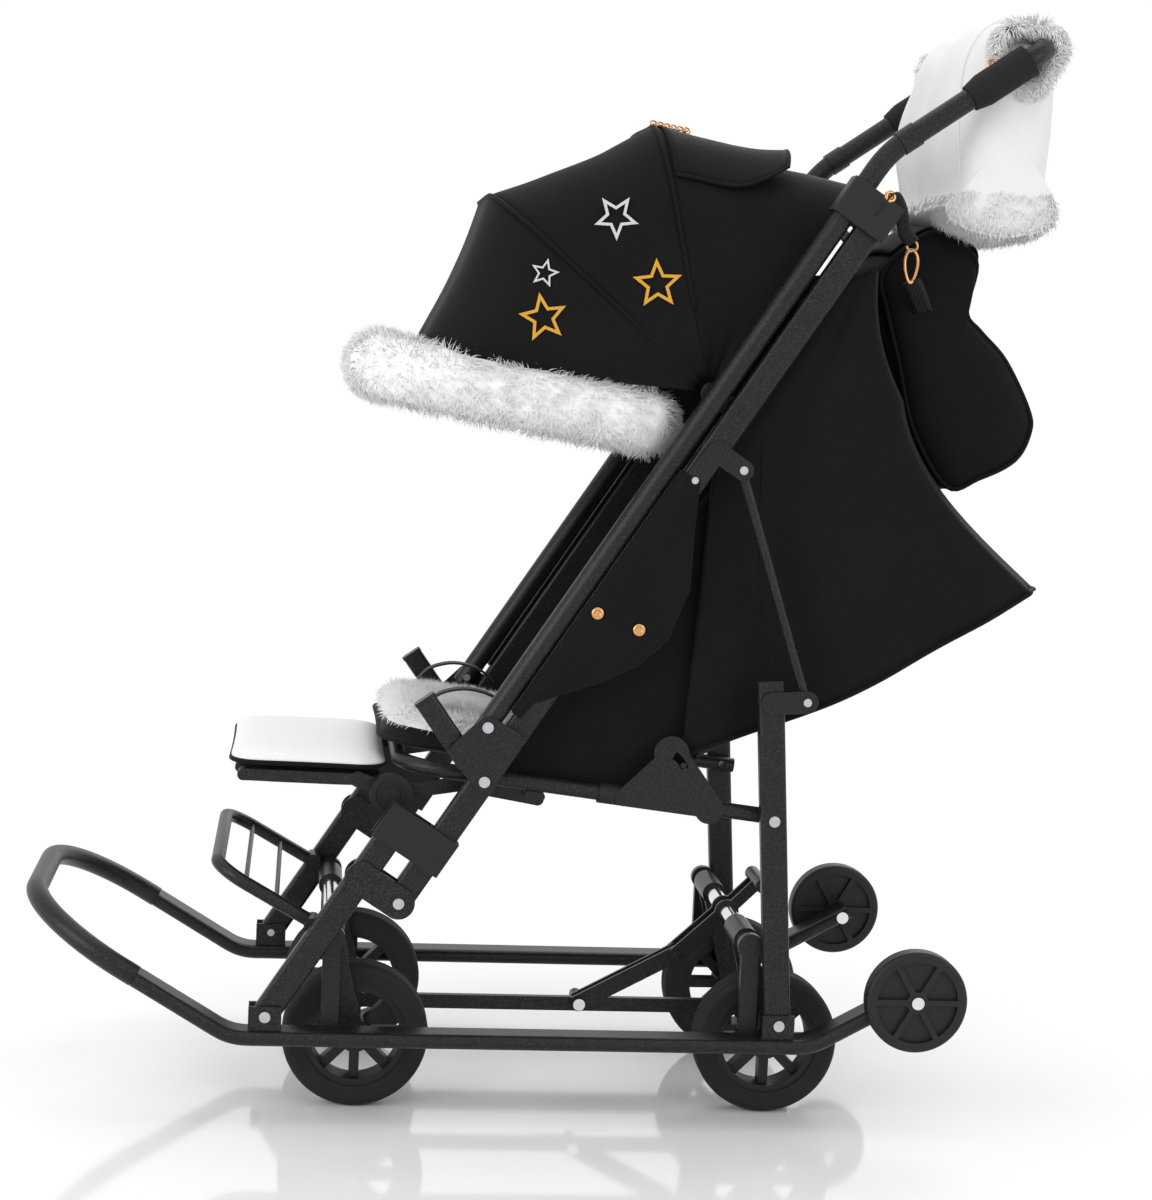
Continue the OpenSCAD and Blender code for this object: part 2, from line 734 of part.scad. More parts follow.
// Long main tubes of the frame
module main_tubes() {
    color("#1d1d1f") both() difference() {
        frame_tube(main_p, frame_angle, -tube_w / 2 + 1, main_len);
        bar_y(main_p, 0, track, bolt_d + 2 * fit);
        bar_y(seat_p, 0, track, bolt_d);
        bar_y(along(main_p, frame_angle, main_to_strut - 36, 0), 0, track, bolt_d - 3);
        bar_y(along(main_p, frame_angle, main_to_hood, 0), 0, track, bolt_d - 3);
    }
}

stop_root = along(seat_p, frame_angle, 4, -20);
bracket_y = half + handle_d / 2 + gap;
// Plates outside the main tubes that carry the handle pivot and the front stop
module seat_brackets() {
    low = seat_p;
    high = along(main_p, frame_angle, main_to_handle + 2, 0);
    stop = along(stop_root, stop_angle, 18, 0);
    w = tube_w - 5;
    color("#1b1b1d") both() difference() {
        union() {
            slab_y(bracket_y, bracket_y + plate_t) {
                strap(low, high, w);
                strap(high, handle_p, w);
                strap(low, stop, w);
                strap(stop, handle_p, w);
                polygon([low, high, handle_p, stop]);
            }
            for (p = [low, high, stop]) bar_y(p, tube_out, bracket_y, w - 6);
        }
        bar_y(seat_p, 0, track, bolt_d);
        bar_y(handle_p, 0, track, bolt_d);
    }
}

// Short tubes in front that the handle leans on when it is turned round, with plastic plugs
module handle_stops() {
    stop_w = tube_w - 5;
    at_angle = stop_angle;
    color("#1b1b1d") both() {
        at(stop_root, half) rotate([0, -at_angle, 0]) {
            translate([stop_lift, 0, 0]) rotate([90, 0, 90]) linear_extrude(stop_len - stop_lift)
                round_rect(tube_t, stop_w, tube_r);
            translate([stop_len, 0, 0]) rotate([90, 0, 90]) linear_extrude(4)
                round_rect(tube_t + 1, stop_w + 1, tube_r);
        }
    }
}
stop_lift = 2;

lug_back = along(main_p, frame_angle, main_to_strut - 36, 0);
// Sheet lugs on the main tubes that carry the struts
module strut_lugs() {
    color("#1b1b1d") both() difference() {
        slab_y(tube_out, tube_out + plate_t) {
            strap(lug_back, along(main_p, frame_angle, main_to_strut, 2), tube_w - 6);
            strap(along(main_p, frame_angle, main_to_strut, 2), strut_p, tube_w - 6);
        }
        bar_y(lug_back, 0, track, bolt_d - 3);
        bar_y(strut_p, 0, track, bolt_d - 2);
    }
}

strut_out = tube_out - gap;
module frame_bolts() {
    color("#c9cacc") both() {
        bolt_y(seat_p, rail_y - rail_d / 2 - 2, bracket_y + plate_t, bolt_d);
        bolt_y(handle_p, tube_in, bracket_y + plate_t, bolt_d);
        bolt_y(lug_back, tube_in, tube_out + plate_t, bolt_d - 3);
        bolt_y(strut_p, strut_out - strut_d - 2, tube_out + plate_t, bolt_d - 2);
    }
}

mount_out = half - handle_d / 2 - 2;
// Plates inside the main tubes with the pin that the hood turns on
module hood_mounts() {
    foot = along(main_p, frame_angle, main_to_hood, 0);
    color("#1b1b1d") both() {
        slab_y(mount_out - plate_t, mount_out) strap(foot, hood_p, 20);
        bar_y(foot, mount_out, tube_in, 14);
        bar_y(foot, tube_in, tube_out + 2, bolt_d - 3);
        bar_y(hood_p, hood_half - 3 * hood_step - hood_wall, mount_out - plate_t, bolt_d);
    }
}

// Struts between the main tubes and the rear legs, with flat eyes
module struts() {
    eye_d = 15;
    eye_t = 4;
    y = strut_out - strut_d / 2;
    color("#1d1d1f") both() difference() {
        union() {
            at(strut_p, y) rotate([0, -strut_angle, 0]) translate([eye_d / 2, 0, 0]) rotate([0, 90, 0])
                cylinder(d = strut_d, h = strut_len - eye_d);
            for (p = [strut_p, rear_strut_p]) slab_y(y - eye_t / 2, y + eye_t / 2) translate(p) circle(d = eye_d);
            slab_y(y - eye_t / 2, y + eye_t / 2) strap(strut_p, rear_strut_p, strut_d - 1);
        }
        bar_y(strut_p, 0, track, bolt_d - 2 + 2 * fit);
        bar_y(rear_strut_p, 0, track, bolt_d - 2);
    }
}

// Seat frame: a bent tube with a cross tube at the back, bored at its pivots
module seat_frame() {
    corner = 50;
    back = 14;
    run = rail_len + rail_ahead + back;
    color("#1d1d1f") difference() {
        union() {
            at(along(seat_p, rail_angle, rail_len + back, 0), rail_y) rotate([0, -rail_angle, 0]) mirror([1, 0, 0])
                sweep([[run - corner, 90, corner, 90], [2 * (rail_y - corner), 90, corner, 0],
                    [run - corner, 0, 0, 0]]) circle(d = rail_d);
            bar_y(along(seat_p, rail_angle, rail_len - 60, 0), -rail_y, rail_y, rail_d - 2);
        }
        bar_y(seat_p, -half, half, bolt_d + 2 * fit);
        bar_y(rear_seat_p, -half, half, bolt_d);
    }
}

// Side plates with an arc slot that set the backrest
module recline_plates() {
    y0 = rail_y + rail_d / 2 + gap / 2;
    foot_a = along(seat_p, rail_angle, recline_run - 34, 0);
    foot_b = along(seat_p, rail_angle, recline_run + 54, 0);
    top = recline_p + slot_r * [cos(recline_angle + 40), sin(recline_angle + 40)];
    a0 = recline_angle - 8;
    slot_w = pin_d + 2;
    color("#202022") both() difference() {
        union() {
            slab_y(y0, y0 + plate_t - gap) {
                for (p = [foot_a, foot_b]) translate(p) circle(d = 18);
                translate(top) circle(d = 36);
                strap(foot_a, foot_b, 18);
                strap(foot_a, top, 18);
                strap(foot_b, top, 30);
                polygon([foot_a, foot_b, top]);
            }
            for (p = [foot_a, foot_b]) bar_y(p, rail_y + rail_d / 2 - 1.5, y0, 10);
        }
        bar_y(recline_p, 0, track, pin_d + 2 * fit);
        at(recline_p) rotate([90, 0, 0]) rotate([0, 0, a0]) rotate_extrude(angle = recline_travel + 16)
            translate([slot_r - slot_w / 2, -track]) square([slot_w, track]);
        at(foot_a, rail_y) rotate([0, -rail_angle, 0]) translate([-40, 0, 0]) rotate([0, 90, 0])
            cylinder(d = rail_d, h = 200);
    }
}

// Seat pad with a sewn cross channel
module seat_cushion() {
    front = rail_ahead + 24;
    l = front + recline_run - 26;
    color("#ece9e4") at(along(seat_p, rail_angle, -front, -rail_d / 2 - gap)) rotate([0, -rail_angle, 0])
        pad(l, seat_w, seat_t, [0.35]);
}

// Flat bars under the seat frame that carry the calf rest hinges
calf_y = seat_w / 2 - 2;
module calf_brackets() {
    root = along(seat_p, rail_angle, 62, rail_d / 2 + 12);
    mid = along(seat_p, rail_angle, -20, rail_d / 2 + 8);
    color("#1b1b1d") both() difference() {
        union() {
            slab_y(calf_y - 5, calf_y) {
                strap(calf_p, mid, 15);
                strap(mid, root, 13);
            }
            for (d = [-10, 50])
                slab_y(calf_y - 5, rail_y) strap(along(seat_p, rail_angle, d, rail_d / 2 + 5),
                    along(seat_p, rail_angle, d + 12, rail_d / 2 + 5), 10 - 2 * gap);
        }
        bar_y(calf_p, 0, track, bolt_d + 2 * fit);
        at(along(seat_p, rail_angle, -60, 0), rail_y) rotate([0, -rail_angle, 0]) rotate([0, 90, 0])
            cylinder(d = rail_d, h = 200);
    }
}

// Padded backrest board, reclined
module backrest() {
    start = 20;
    board = 8;
    color("#141415") at(recline_p) rotate([0, -recline_angle, 0]) {
        translate([start, -back_w / 2, -board / 2]) cube([back_len - start, back_w, board]);
        translate([start, 0, board / 2]) pad(back_len - start, back_w, back_t - board, [0.3, 0.6]);
    }
}

// Pins on the backrest edge: the pivot and the one that rides in the arc slot
module recline_pins() {
    pin_y = rail_y + rail_d / 2 + plate_t;
    lock = recline_p + slot_r * [cos(recline_angle), sin(recline_angle)];
    strip = 5;
    y0 = back_w / 2 + gap / 2;
    color("#1d1d1f") both() {
        slab_y(y0, y0 + strip) strap(recline_p, along(recline_p, recline_angle, 90, 0), 10);
        bar_y(recline_p, y0 + strip, pin_y, pin_d);
        bar_y(lock, y0 + strip, pin_y, pin_d);
    }
}

calf_rise = 1;
calf_lift = 12;
// Steel frame under the calf pad, swinging on the hinge knobs
module calf_frame() {
    strap_y = calf_y - 5 - gap - 4;
    tip = calf_p + (calf_len - 8) * [-cos(calf_rise), sin(calf_rise)] + [0, calf_lift];
    heel = calf_p + 34 * [-cos(calf_rise), sin(calf_rise)] + [0, calf_lift];
    color("#1b1b1d") difference() {
        union() {
            both() slab_y(strap_y, strap_y + 4) {
                strap(calf_p, heel, 16);
                strap(heel, tip, 12);
            }
            for (p = [heel, tip]) bar_y(p, -strap_y, strap_y, 12);
        }
        bar_y(calf_p, -half, half, bolt_d + 2 * fit);
    }
}

module calf_pad() {
    base = calf_p + [0, calf_lift] + (8 + gap) * [sin(calf_rise), cos(calf_rise)];
    color("#f1f0ee") at(base + (calf_len + 6) * [-cos(calf_rise), sin(calf_rise)]) rotate([0, calf_rise, 0])
        pad(calf_len, calf_w, calf_t);
}

// Round hinge knobs with a sunk button, on the hinge bolt
module calf_knobs() {
    inner = calf_y - 5 - 2 * gap - 9;
    color("#1a1a1b") both() difference() {
        union() {
            bar_y(calf_p, inner, calf_y + 1, bolt_d);
            bar_y(calf_p, inner - 3, inner, bolt_d * 1.7);
            bar_y(calf_p, calf_y + gap, calf_y + 10, knob_d);
        }
        at(calf_p, calf_y + 8) rotate([-90, 0, 0]) difference() {
            cylinder(d = knob_d * 0.72, h = 3);
            cylinder(d = knob_d * 0.4, h = 4);
        }
    }
}

// Rear legs
module rear_legs() {
    color("#1d1d1f") both() difference() {
        union() {
            frame_tube(rear_p, rear_angle, 0, rear_len);
            bar_y(rear_p, tube_in + 0.5, tube_out - 0.5, tube_w - 1);
        }
        bar_y(rear_p, 0, track, bolt_d + 2 * fit);
        bar_y(rear_seat_p, 0, track, bolt_d);
    }
}

// Plates on the rear legs that carry the strut ends
module strut_brackets() {
    root = along(rear_p, rear_angle, rear_to_strut, 0);
    color("#1b1b1d") both() difference() {
        slab_y(tube_out, tube_out + plate_t) strap(root, rear_strut_p, tube_w - 4);
        bar_y(rear_strut_p, 0, track, bolt_d - 2);
    }
}

module rear_bolts() {
    color("#c9cacc") both() {
        bolt_y(rear_seat_p, rail_y + rail_d / 2 + gap, tube_out, bolt_d);
        bolt_y(rear_strut_p, strut_out + gap, tube_out + plate_t, bolt_d - 2);
    }
}

// Plastic sleeve that slides on one tube and holds a second one beside it between two cheeks
module lock_sleeve(w, t, reach) {
    box_w = t + 2 * lock_wall + 2 * gap;
    difference() {
        rotate([90, 0, 90]) linear_extrude(lock_len) {
            round_rect(box_w, w + 2 * lock_wall, 3);
            translate([-box_w / 2, 0]) square([box_w, reach]);
        }
        translate([-1, 0, 0]) rotate([90, 0, 90]) linear_extrude(lock_len + 2) {
            children();
            translate([-t / 2 - gap, w / 2 + lock_wall]) square([t + 2 * gap, reach]);
        }
    }
}

module lower_locks() {
    color("#161617") both() at(along(main_p, frame_angle, lock_low - lock_len / 2, 0), half)
        rotate([0, -frame_angle, 0]) lock_sleeve(tube_w, tube_t, leg_gap + tube_w / 2 + 3)
            round_rect(tube_t + 2 * fit, tube_w + 2 * fit, tube_r);
}

lock_high = main_len - main_to_handle - 13;
module upper_locks() {
    color("#161617") both() at(along(handle_p, frame_angle, lock_high, 0), half)
        rotate([0, -frame_angle, 0]) mirror([0, 0, 1])
            lock_sleeve(handle_d, handle_d, handle_gap + tube_w / 2 + 3) circle(d = handle_d + 2 * fit);
}

bend_radius = 112.1;
// One side of the handle with half of its cross bar
module handle_side() {
    below = 9;
    at(along(handle_p, frame_angle, -below, 0), half) rotate([0, -frame_angle, 0])
        sweep([[handle_len + below, handle_bend, bend_radius, 180],
            [handle_reach - handle_r, 90, handle_r, -90], [half - handle_r, 0, 0, 0]]) circle(d = handle_d);
}

// Handle of two bent tubes joined by a middle sleeve, with a collar above each bend, turning on its two lower ends
module handle_tube() {
    color("#1a1a1c") difference() {
        union() {
            both() handle_side();
            bar_y(along(bend_end, grip_angle, handle_reach, 0), -14, 14, handle_d + 3);
            both() at(bend_end, half) rotate([0, 90 - grip_angle, 0]) translate([0, 0, -8])
                cylinder(d = handle_d + 3, h = 20);
        }
        both() bar_y(handle_p, half - handle_d, half + handle_d, bolt_d + 2 * fit);
    }
}

bend_end = along(handle_p, frame_angle, handle_len, 0)
    + bend_radius * [sin(frame_angle) - sin(frame_angle - handle_bend),
        cos(frame_angle - handle_bend) - cos(frame_angle)];
grip_angle = frame_angle - handle_bend;
// Foam grips with a tapered collar
module handle_grips() {
    from = handle_reach - handle_r - grip_len + 18;
    taper = 16;
    color("#202021") both() at(along(bend_end, grip_angle, from, 0), half)
        rotate([0, 90 - grip_angle, 0]) difference() {
            union() {
                cylinder(d1 = handle_d + 5, d2 = grip_d, h = taper);
                translate([0, 0, taper]) cylinder(d = grip_d, h = grip_len - taper - 18);
            }
            translate([0, 0, -1]) cylinder(d = handle_d, h = grip_len);
        }
}

// Soft hand muff hung over the cross bar of the handle
module hand_muff() {
    bar = along(bend_end, grip_angle, handle_reach, 0);
    outline = [bar + [-54, 19], bar + [-32, 35], bar + [-5, 33], bar + [17, 15], bar + [23, -18], bar + [15, -138],
        bar + [31, -158], bar + [21, -178], bar + [-27, -189], bar + [-73, -177], bar + [-84, -161],
        bar + [-73, -141], bar + [-78, -83], bar + [-69, -18]];
    color("#f3f2f0") slab_y(-muff_w / 2, muff_w / 2) polygon(outline);
}

// Outline of a hood hoop, out from the pivot line
module hoop(r, w) {
    k = min(hood_round, w - 1);
    translate([0, -w]) square([r - k, 2 * w]);
    translate([0, -w + k]) square([r, 2 * w - 2 * k]);
    for (s = [-1, 1]) translate([r - k, s * (w - k)]) circle(r = k, $fn = 32);
}

// Hood panel stretched between two hoops, hollow and open below
module hood_panel(a0, a1, reach, w) {
    eye_d = 24;
    difference() {
        union() {
            difference() {
                hull() for (e = [[a0, reach[0]], [a1, reach[1]]])
                    at(hood_p) rotate([0, -e[0], 0]) translate([0, 0, -0.5]) linear_extrude(1) hoop(e[1], w);
                hull() for (e = [[a0, reach[0]], [a1, reach[1]]])
                    at(hood_p) rotate([0, -e[0], 0]) translate([0, 0, -2]) linear_extrude(4)
                        hoop(e[1] - hood_wall * 1.2, w - hood_wall);
            }
            both() bar_y(hood_p, w - hood_wall, w, eye_d);
        }
        bar_y(hood_p, -half, half, bolt_d + 2 * fit);
    }
}
module hood_front() { color("#121213") hood_panel(hoop_angles[0], hoop_angles[1], front_reach, hood_half); }
module hood_mid() { color("#121213") hood_panel(hoop_angles[1], hoop_angles[2], mid_reach, hood_half - hood_step); }
module hood_rear() {
    color("#121213") hood_panel(hoop_angles[2], hoop_angles[3], rear_reach, hood_half - 2 * hood_step);
}

// Fur roll along the lower edge of the front panel
module hood_fur() {
    corner = 70;
    y = hood_half - fur_d / 2;
    dir = hoop_angles[0] + 7;
    drop = fur_d / 2 + 12;
    start = along(hood_p, dir, 30, -drop);
    color("#f4f3f1") at(start, y) rotate([0, -dir, 0]) {
        sweep([[fur_len, 90, corner, 90], [2 * (y - corner), 90, corner, 0], [fur_len, 0, 0, 0]]) circle(d = fur_d);
        sphere(d = fur_d);
        translate([0, -2 * y, 0]) sphere(d = fur_d);
    }
}

wing_t = 2.5;
// Side panels between the main tubes and the seat frame, and the flaps snapped round the tubes
module side_wings() {
    y = back_w / 2 + 12;
    low_front = along(seat_p, rail_angle, 6, -rail_d / 2 - 4);
    low_back = along(seat_p, rail_angle, recline_run - 50, -rail_d / 2 - 4);
    top = along(main_p, frame_angle, main_to_hood - 40, tube_w / 2);
    flap_low = along(main_p, frame_angle, main_to_handle + 60, tube_w / 2);
    flap_top = along(main_p, frame_angle, main_to_strut - 66, tube_w / 2);
    color("#131314") both() {
        slab_y(y, y + wing_t) polygon([low_front, low_back, recline_p + [6, 40], top,
            along(main_p, frame_angle, main_to_seat + 40, tube_w / 2)]);
        slab_y(tube_out + gap, tube_out + gap + wing_t) {
            polygon([flap_low - [12, 0], along(flap_low, frame_angle, 20, 26), along(flap_low, frame_angle, 110, 52),
                along(flap_top, frame_angle, -60, 36), flap_top,
                along(flap_top, frame_angle, 0, -tube_w + 2), along(flap_low, frame_angle, 0, -tube_w + 2)]);
        }
    }
}

// Cape behind the seat: front edge, rear edge and folds by share of its height
cape_top = along(main_p, frame_angle, main_len - 30, tube_w / 2 + 2);
cape_seam = along(main_p, frame_angle, main_to_strut - 20, tube_w / 2 + 2);
cape_foot = recline_p + [20, 20];
cape_tip = along(recline_p, recline_angle, back_len - 6, -6);
function mix(a, b, t) = a + (b - a) * t;
function cape_front(v) = v < 0.45 ? mix(cape_top, cape_seam, v / 0.45) : mix(cape_seam, cape_foot, (v - 0.45) / 0.55);
function cape_rear(v) = mix(cape_top, cape_tip, v) + [-62 * sin(180 * v), 24 * sin(180 * v)]
    + [14 - (v > 0.5 ? 18 * sin(360 * (v - 0.5)) : 0), 0];
// Place along the U of the cape, from the left front edge round the back to the right
function cape_point(u, v, inset) =
    let (f = cape_front(v), r = cape_rear(v), w = cape_half - inset,
         s = u < 0.36 ? u / 0.36 : u > 0.64 ? (1 - u) / 0.36 : 1,
         side = u < 0.36 ? -1 : u > 0.64 ? 1 : (u - 0.5) / 0.14,
         round = u < 0.36 || u > 0.64 ? 0 : 18 * (1 - pow(abs(side), 3)),
         wave = fold_depth * v * sin(360 * fold_n * u) * (u < 0.02 || u > 0.98 ? 0 : 1),
         p = mix(f, r, s))
    [p[0] + round - (u >= 0.36 && u <= 0.64 ? inset : 0), side * (w - max(0, wave) * (s < 1 ? 1 : 0.5)), p[1]];
module rear_cape() {
    n = 14;
    m = 36;
    outer = [for (i = [0 : n]) [for (j = [0 : m]) cape_point(j / m, 0.04 + 0.96 * i / n, 0)]];
    inner = [for (i = [0 : n]) [for (j = [0 : m]) cape_point(j / m, 0.04 + 0.96 * i / n, cape_t)]];
    color("#111112") grid_solid(outer, inner);
}

// Rounded bag hung behind the cape
module rear_bag() {
    front = cape_rear(0.06) + [20.6, 6];
    outline = [front, front + [30, 34], front + [55, 46], front + [86, 36], front + [104, 14], front + [96, -36],
        front + [112, -58], front + [142, -88], front + [170, -138], front + [174, -164], front + [159, -194],
        front + [120, -216], front + [85, -225], front + [44, -164], front + [23, -90], front + [8, -40]];
    color("#131314") slab_y(-bag_w / 2, bag_w / 2) polygon(outline);
}

runners();
tow_loop();
leg_lugs();
lug_bolts();
lift_posts();
cross_tubes();
carry_axles();
front_swing_arms();
front_axle();
rear_swing_arms();
rear_axle();
tie_bar();
knee_pin();
lift_spring();
pedal_link();
lower_link();
front_left_tyre();
front_left_rim();
front_right_tyre();
front_right_rim();
rear_left_tyre();
rear_left_rim();
rear_right_tyre();
rear_right_rim();
carry_wheel_left();
carry_wheel_right();
front_legs();
foot_step();
main_pivot_bolts();
main_tubes();
seat_brackets();
handle_stops();
strut_lugs();
frame_bolts();
hood_mounts();
struts();
seat_frame();
recline_plates();
seat_cushion();
calf_brackets();
backrest();
recline_pins();
calf_frame();
calf_pad();
calf_knobs();
rear_legs();
strut_brackets();
rear_bolts();
lower_locks();
upper_locks();
handle_tube();
handle_grips();
hand_muff();
hood_rear();
hood_mid();
hood_front();
hood_fur();
side_wings();
rear_cape();
rear_bag();
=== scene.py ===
import json
import math
import random

import bpy
from mathutils import Matrix, Vector, noise


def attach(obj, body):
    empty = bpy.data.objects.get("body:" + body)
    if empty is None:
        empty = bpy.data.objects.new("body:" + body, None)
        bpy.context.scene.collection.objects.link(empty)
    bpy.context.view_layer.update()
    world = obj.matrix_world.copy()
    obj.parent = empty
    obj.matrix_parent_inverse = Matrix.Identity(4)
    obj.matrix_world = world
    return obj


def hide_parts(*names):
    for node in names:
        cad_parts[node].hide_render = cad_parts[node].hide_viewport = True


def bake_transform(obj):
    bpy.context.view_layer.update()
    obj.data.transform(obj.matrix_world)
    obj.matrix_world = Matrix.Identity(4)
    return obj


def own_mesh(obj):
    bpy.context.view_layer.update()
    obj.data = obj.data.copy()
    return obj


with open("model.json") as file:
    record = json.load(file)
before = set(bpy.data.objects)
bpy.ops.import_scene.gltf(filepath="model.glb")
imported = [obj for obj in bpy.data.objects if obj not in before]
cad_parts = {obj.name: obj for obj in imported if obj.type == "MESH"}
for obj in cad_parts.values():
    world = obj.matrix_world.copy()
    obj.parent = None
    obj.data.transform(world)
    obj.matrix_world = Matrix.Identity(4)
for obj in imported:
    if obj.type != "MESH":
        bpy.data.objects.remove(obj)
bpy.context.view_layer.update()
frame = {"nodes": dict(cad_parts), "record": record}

# Places of the frame in the side view, X and Z in metres
MAIN_FOOT = (-0.14204, 0.22663)
MAIN_ANGLE = 57.4
SEAT_PIVOT = (-0.06149, 0.35258)
RECLINE = (0.11941, 0.35920)
RAIL_ANGLE = -6.48
BACK_ANGLE = 27.5
CALF_PIVOT = (-0.15149, 0.32758)
HOOD_PIVOT = (0.15097, 0.74789)
BAR = (0.47104, 1.10483)
SIDES = ((-1, "left"), (1, "right"))

# Thickness of cloth and of webbing, width of a hair, and a third of a turn in radians
CLOTH_THICK = 0.002
WEB_THICK = 0.0018
HAIR_WIDTH = 0.0010
THIRD_TURN = 2.0944


def along(p, angle, run, off=0.0):
    """A point run metres from p at an angle, and off metres to the right of that line"""
    a = math.radians(angle)
    return (p[0] + run * math.cos(a) + off * math.sin(a), p[1] + run * math.sin(a) - off * math.cos(a))


def mix(a, b, t):
    """The point a share of the way from a to b"""
    return tuple(p + (q - p) * t for p, q in zip(a, b))


def colour(code):
    """A hex colour as the linear numbers a shader takes"""
    parts = [int(code[i:i + 2], 16) / 255 for i in (1, 3, 5)]
    return [c / 12.92 if c <= 0.04045 else ((c + 0.055) / 1.055) ** 2.4 for c in parts] + [1]


def add(tree, kind, inputs=None, **settings):
    """Adds a node with its settings, values and links"""
    made = tree.nodes.new(kind)
    for key, value in settings.items():
        setattr(made, key, value)
    for key, value in (inputs or {}).items():
        if isinstance(value, bpy.types.NodeSocket):
            tree.links.new(value, made.inputs[key])
        else:
            made.inputs[key].default_value = value
    return made


class Finish:
    """A procedural material, built up from patterns over an object's own coordinates"""

    def __init__(self, name, **values):
        self.material = bpy.data.materials.new(name)
        self.material.use_nodes = True
        self.tree = self.material.node_tree
        self.shader = self.tree.nodes["Principled BSDF"]
        for key, value in values.items():
            self.shader.inputs[key.replace("_", " ")].default_value = value
        self.place = self.add("ShaderNodeTexCoord").outputs["Object"]

    def add(self, kind, inputs=None, **settings):
        """Adds a node to this material"""
        return add(self.tree, kind, inputs, **settings)

    def clouds(self, scale, detail):
        """Soft noise, with spots one metre across divided by the scale"""
        made = self.add("ShaderNodeTexNoise", {"Vector": self.place, "Scale": scale, "Detail": detail})
        return made.outputs["Fac"]

    def cells(self, scale):
        """Small cells, one metre across divided by the scale"""
        return self.add("ShaderNodeTexVoronoi", {"Vector": self.place, "Scale": scale}).outputs["Distance"]

    def ribs(self, scale, distortion=0.0, place=None):
        """Slanting ribs, 0.36 metres apart divided by the scale"""
        inputs = {"Vector": self.place if place is None else place, "Scale": scale, "Distortion": distortion}
        return self.add("ShaderNodeTexWave", inputs, bands_direction="DIAGONAL").outputs["Fac"]

    def contrast(self, value, low, high):
        """A pattern whose part from low to high is spread over the whole range"""
        return self.add("ShaderNodeMapRange", {"Value": value, "From Min": low, "From Max": high}).outputs[0]

    def scaled(self, value, low, high):
        """A pattern brought into the range from low to high"""
        return self.add("ShaderNodeMapRange", {"Value": value, "To Min": low, "To Max": high}).outputs[0]

    def tones(self, amount, dark, pale):
        """A colour between two tones"""
        made = self.add("ShaderNodeMix", {0: amount, 6: colour(dark), 7: colour(pale)}, data_type="RGBA")
        return made.outputs[2]

    def relief(self, height, strength, depth):
        """A raised and sunken surface"""
        inputs = {"Height": height, "Strength": strength, "Distance": depth}
        return self.add("ShaderNodeBump", inputs).outputs[0]

    def wire(self, **ends):
        """Links patterns to the shader's inputs and gives back the material"""
        for key, value in ends.items():
            self.tree.links.new(value, self.shader.inputs[key.replace("_", " ")])
        return self.material


# Powder coat: near black with a fine orange peel and paler metal flecks about 1 mm across
coat = Finish("powder coated steel", Roughness=0.38, IOR=1.5, Specular_IOR_Level=0.3)
fleck = coat.clouds(1100.0, 2.0)
powder_coat = coat.wire(Base_Color=coat.tones(coat.contrast(fleck, 0.54, 0.72), "#0c0c0d", "#46464b"),
                        Normal=coat.relief(fleck, 0.25, 0.0004))

# Chrome: bright metal with faint wiping streaks in its gloss
bright = Finish("chromed steel", Metallic=1.0, Base_Color=colour("#dcdee1"))
chrome = bright.wire(Roughness=bright.scaled(bright.clouds(160.0, 4.0), 0.06, 0.2))

# Zinc plate: soft grey metal with a cloudy gloss
plate = Finish("zinc plated steel", Metallic=1.0)
cloud = plate.clouds(260.0, 5.0)
zinc = plate.wire(Roughness=plate.scaled(cloud, 0.22, 0.45),
                  Base_Color=plate.tones(cloud, "#a9abae", "#cfd1d4"))

# Moulded black plastic: dull, with a fine spark eroded grain
mould = Finish("black moulded plastic", IOR=1.5, Specular_IOR_Level=0.35)
grain = mould.clouds(1500.0, 2.0)
plastic = mould.wire(Roughness=mould.scaled(grain, 0.4, 0.6),
                     Base_Color=mould.tones(grain, "#0d0d0e", "#1a1a1c"),
                     Normal=mould.relief(grain, 0.2, 0.0003))

# Tyre: dark rubber with a dusty bloom and a matt grain
rubber = Finish("foam rubber tyre", Roughness=0.72, IOR=1.52, Specular_IOR_Level=0.3)
tyre = rubber.wire(Base_Color=rubber.tones(rubber.clouds(60.0, 6.0), "#101011", "#212122"),
                   Normal=rubber.relief(rubber.clouds(900.0, 2.0), 0.35, 0.0005))

# Foam grip: soft black skin with small open cells
skin = Finish("foam grip", Roughness=0.78, Specular_IOR_Level=0.3)
cell = skin.cells(520.0)
foam = skin.wire(Base_Color=skin.tones(cell, "#0d0d0e", "#1b1b1c"), Normal=skin.relief(cell, 0.3, 0.0005))

# Softshell cloth: matt black, a crossed weave of about 2 mm, a soft sheen and slow changes of tone
shell = Finish("black softshell cloth", Roughness=0.72, Sheen_Weight=0.03, Specular_IOR_Level=0.12)
crossing = shell.add("ShaderNodeMapping", {"Vector": shell.place, "Rotation": (0.0, 1.5708, 0.4)}).outputs[0]
weave = shell.add("ShaderNodeMath", {0: shell.ribs(196.0, 0.6), 1: shell.ribs(196.0, 0.6, crossing)},
                  operation="MULTIPLY").outputs[0]
cloth = shell.wire(Base_Color=shell.tones(shell.clouds(14.0, 4.0), "#09090a", "#131315"),
                   Normal=shell.relief(weave, 0.3, 0.0005))

# Webbing: black nylon with a rib every 2.3 mm
nylon = Finish("nylon webbing", Roughness=0.55, Specular_IOR_Level=0.3)
rib = nylon.ribs(157.0)
webbing = nylon.wire(Base_Color=nylon.tones(rib, "#0c0c0d", "#1e1e20"), Normal=nylon.relief(rib, 0.5, 0.0006))

# Leatherette: white with a pebbled grain of about 1.5 mm and a low gloss
cover = Finish("white leatherette", Roughness=0.48, IOR=1.48)
pebble = cover.cells(640.0)
leatherette = cover.wire(Base_Color=cover.tones(pebble, "#e3e2e0", "#f4f4f3"),
                         Normal=cover.relief(pebble, 0.25, 0.0004))

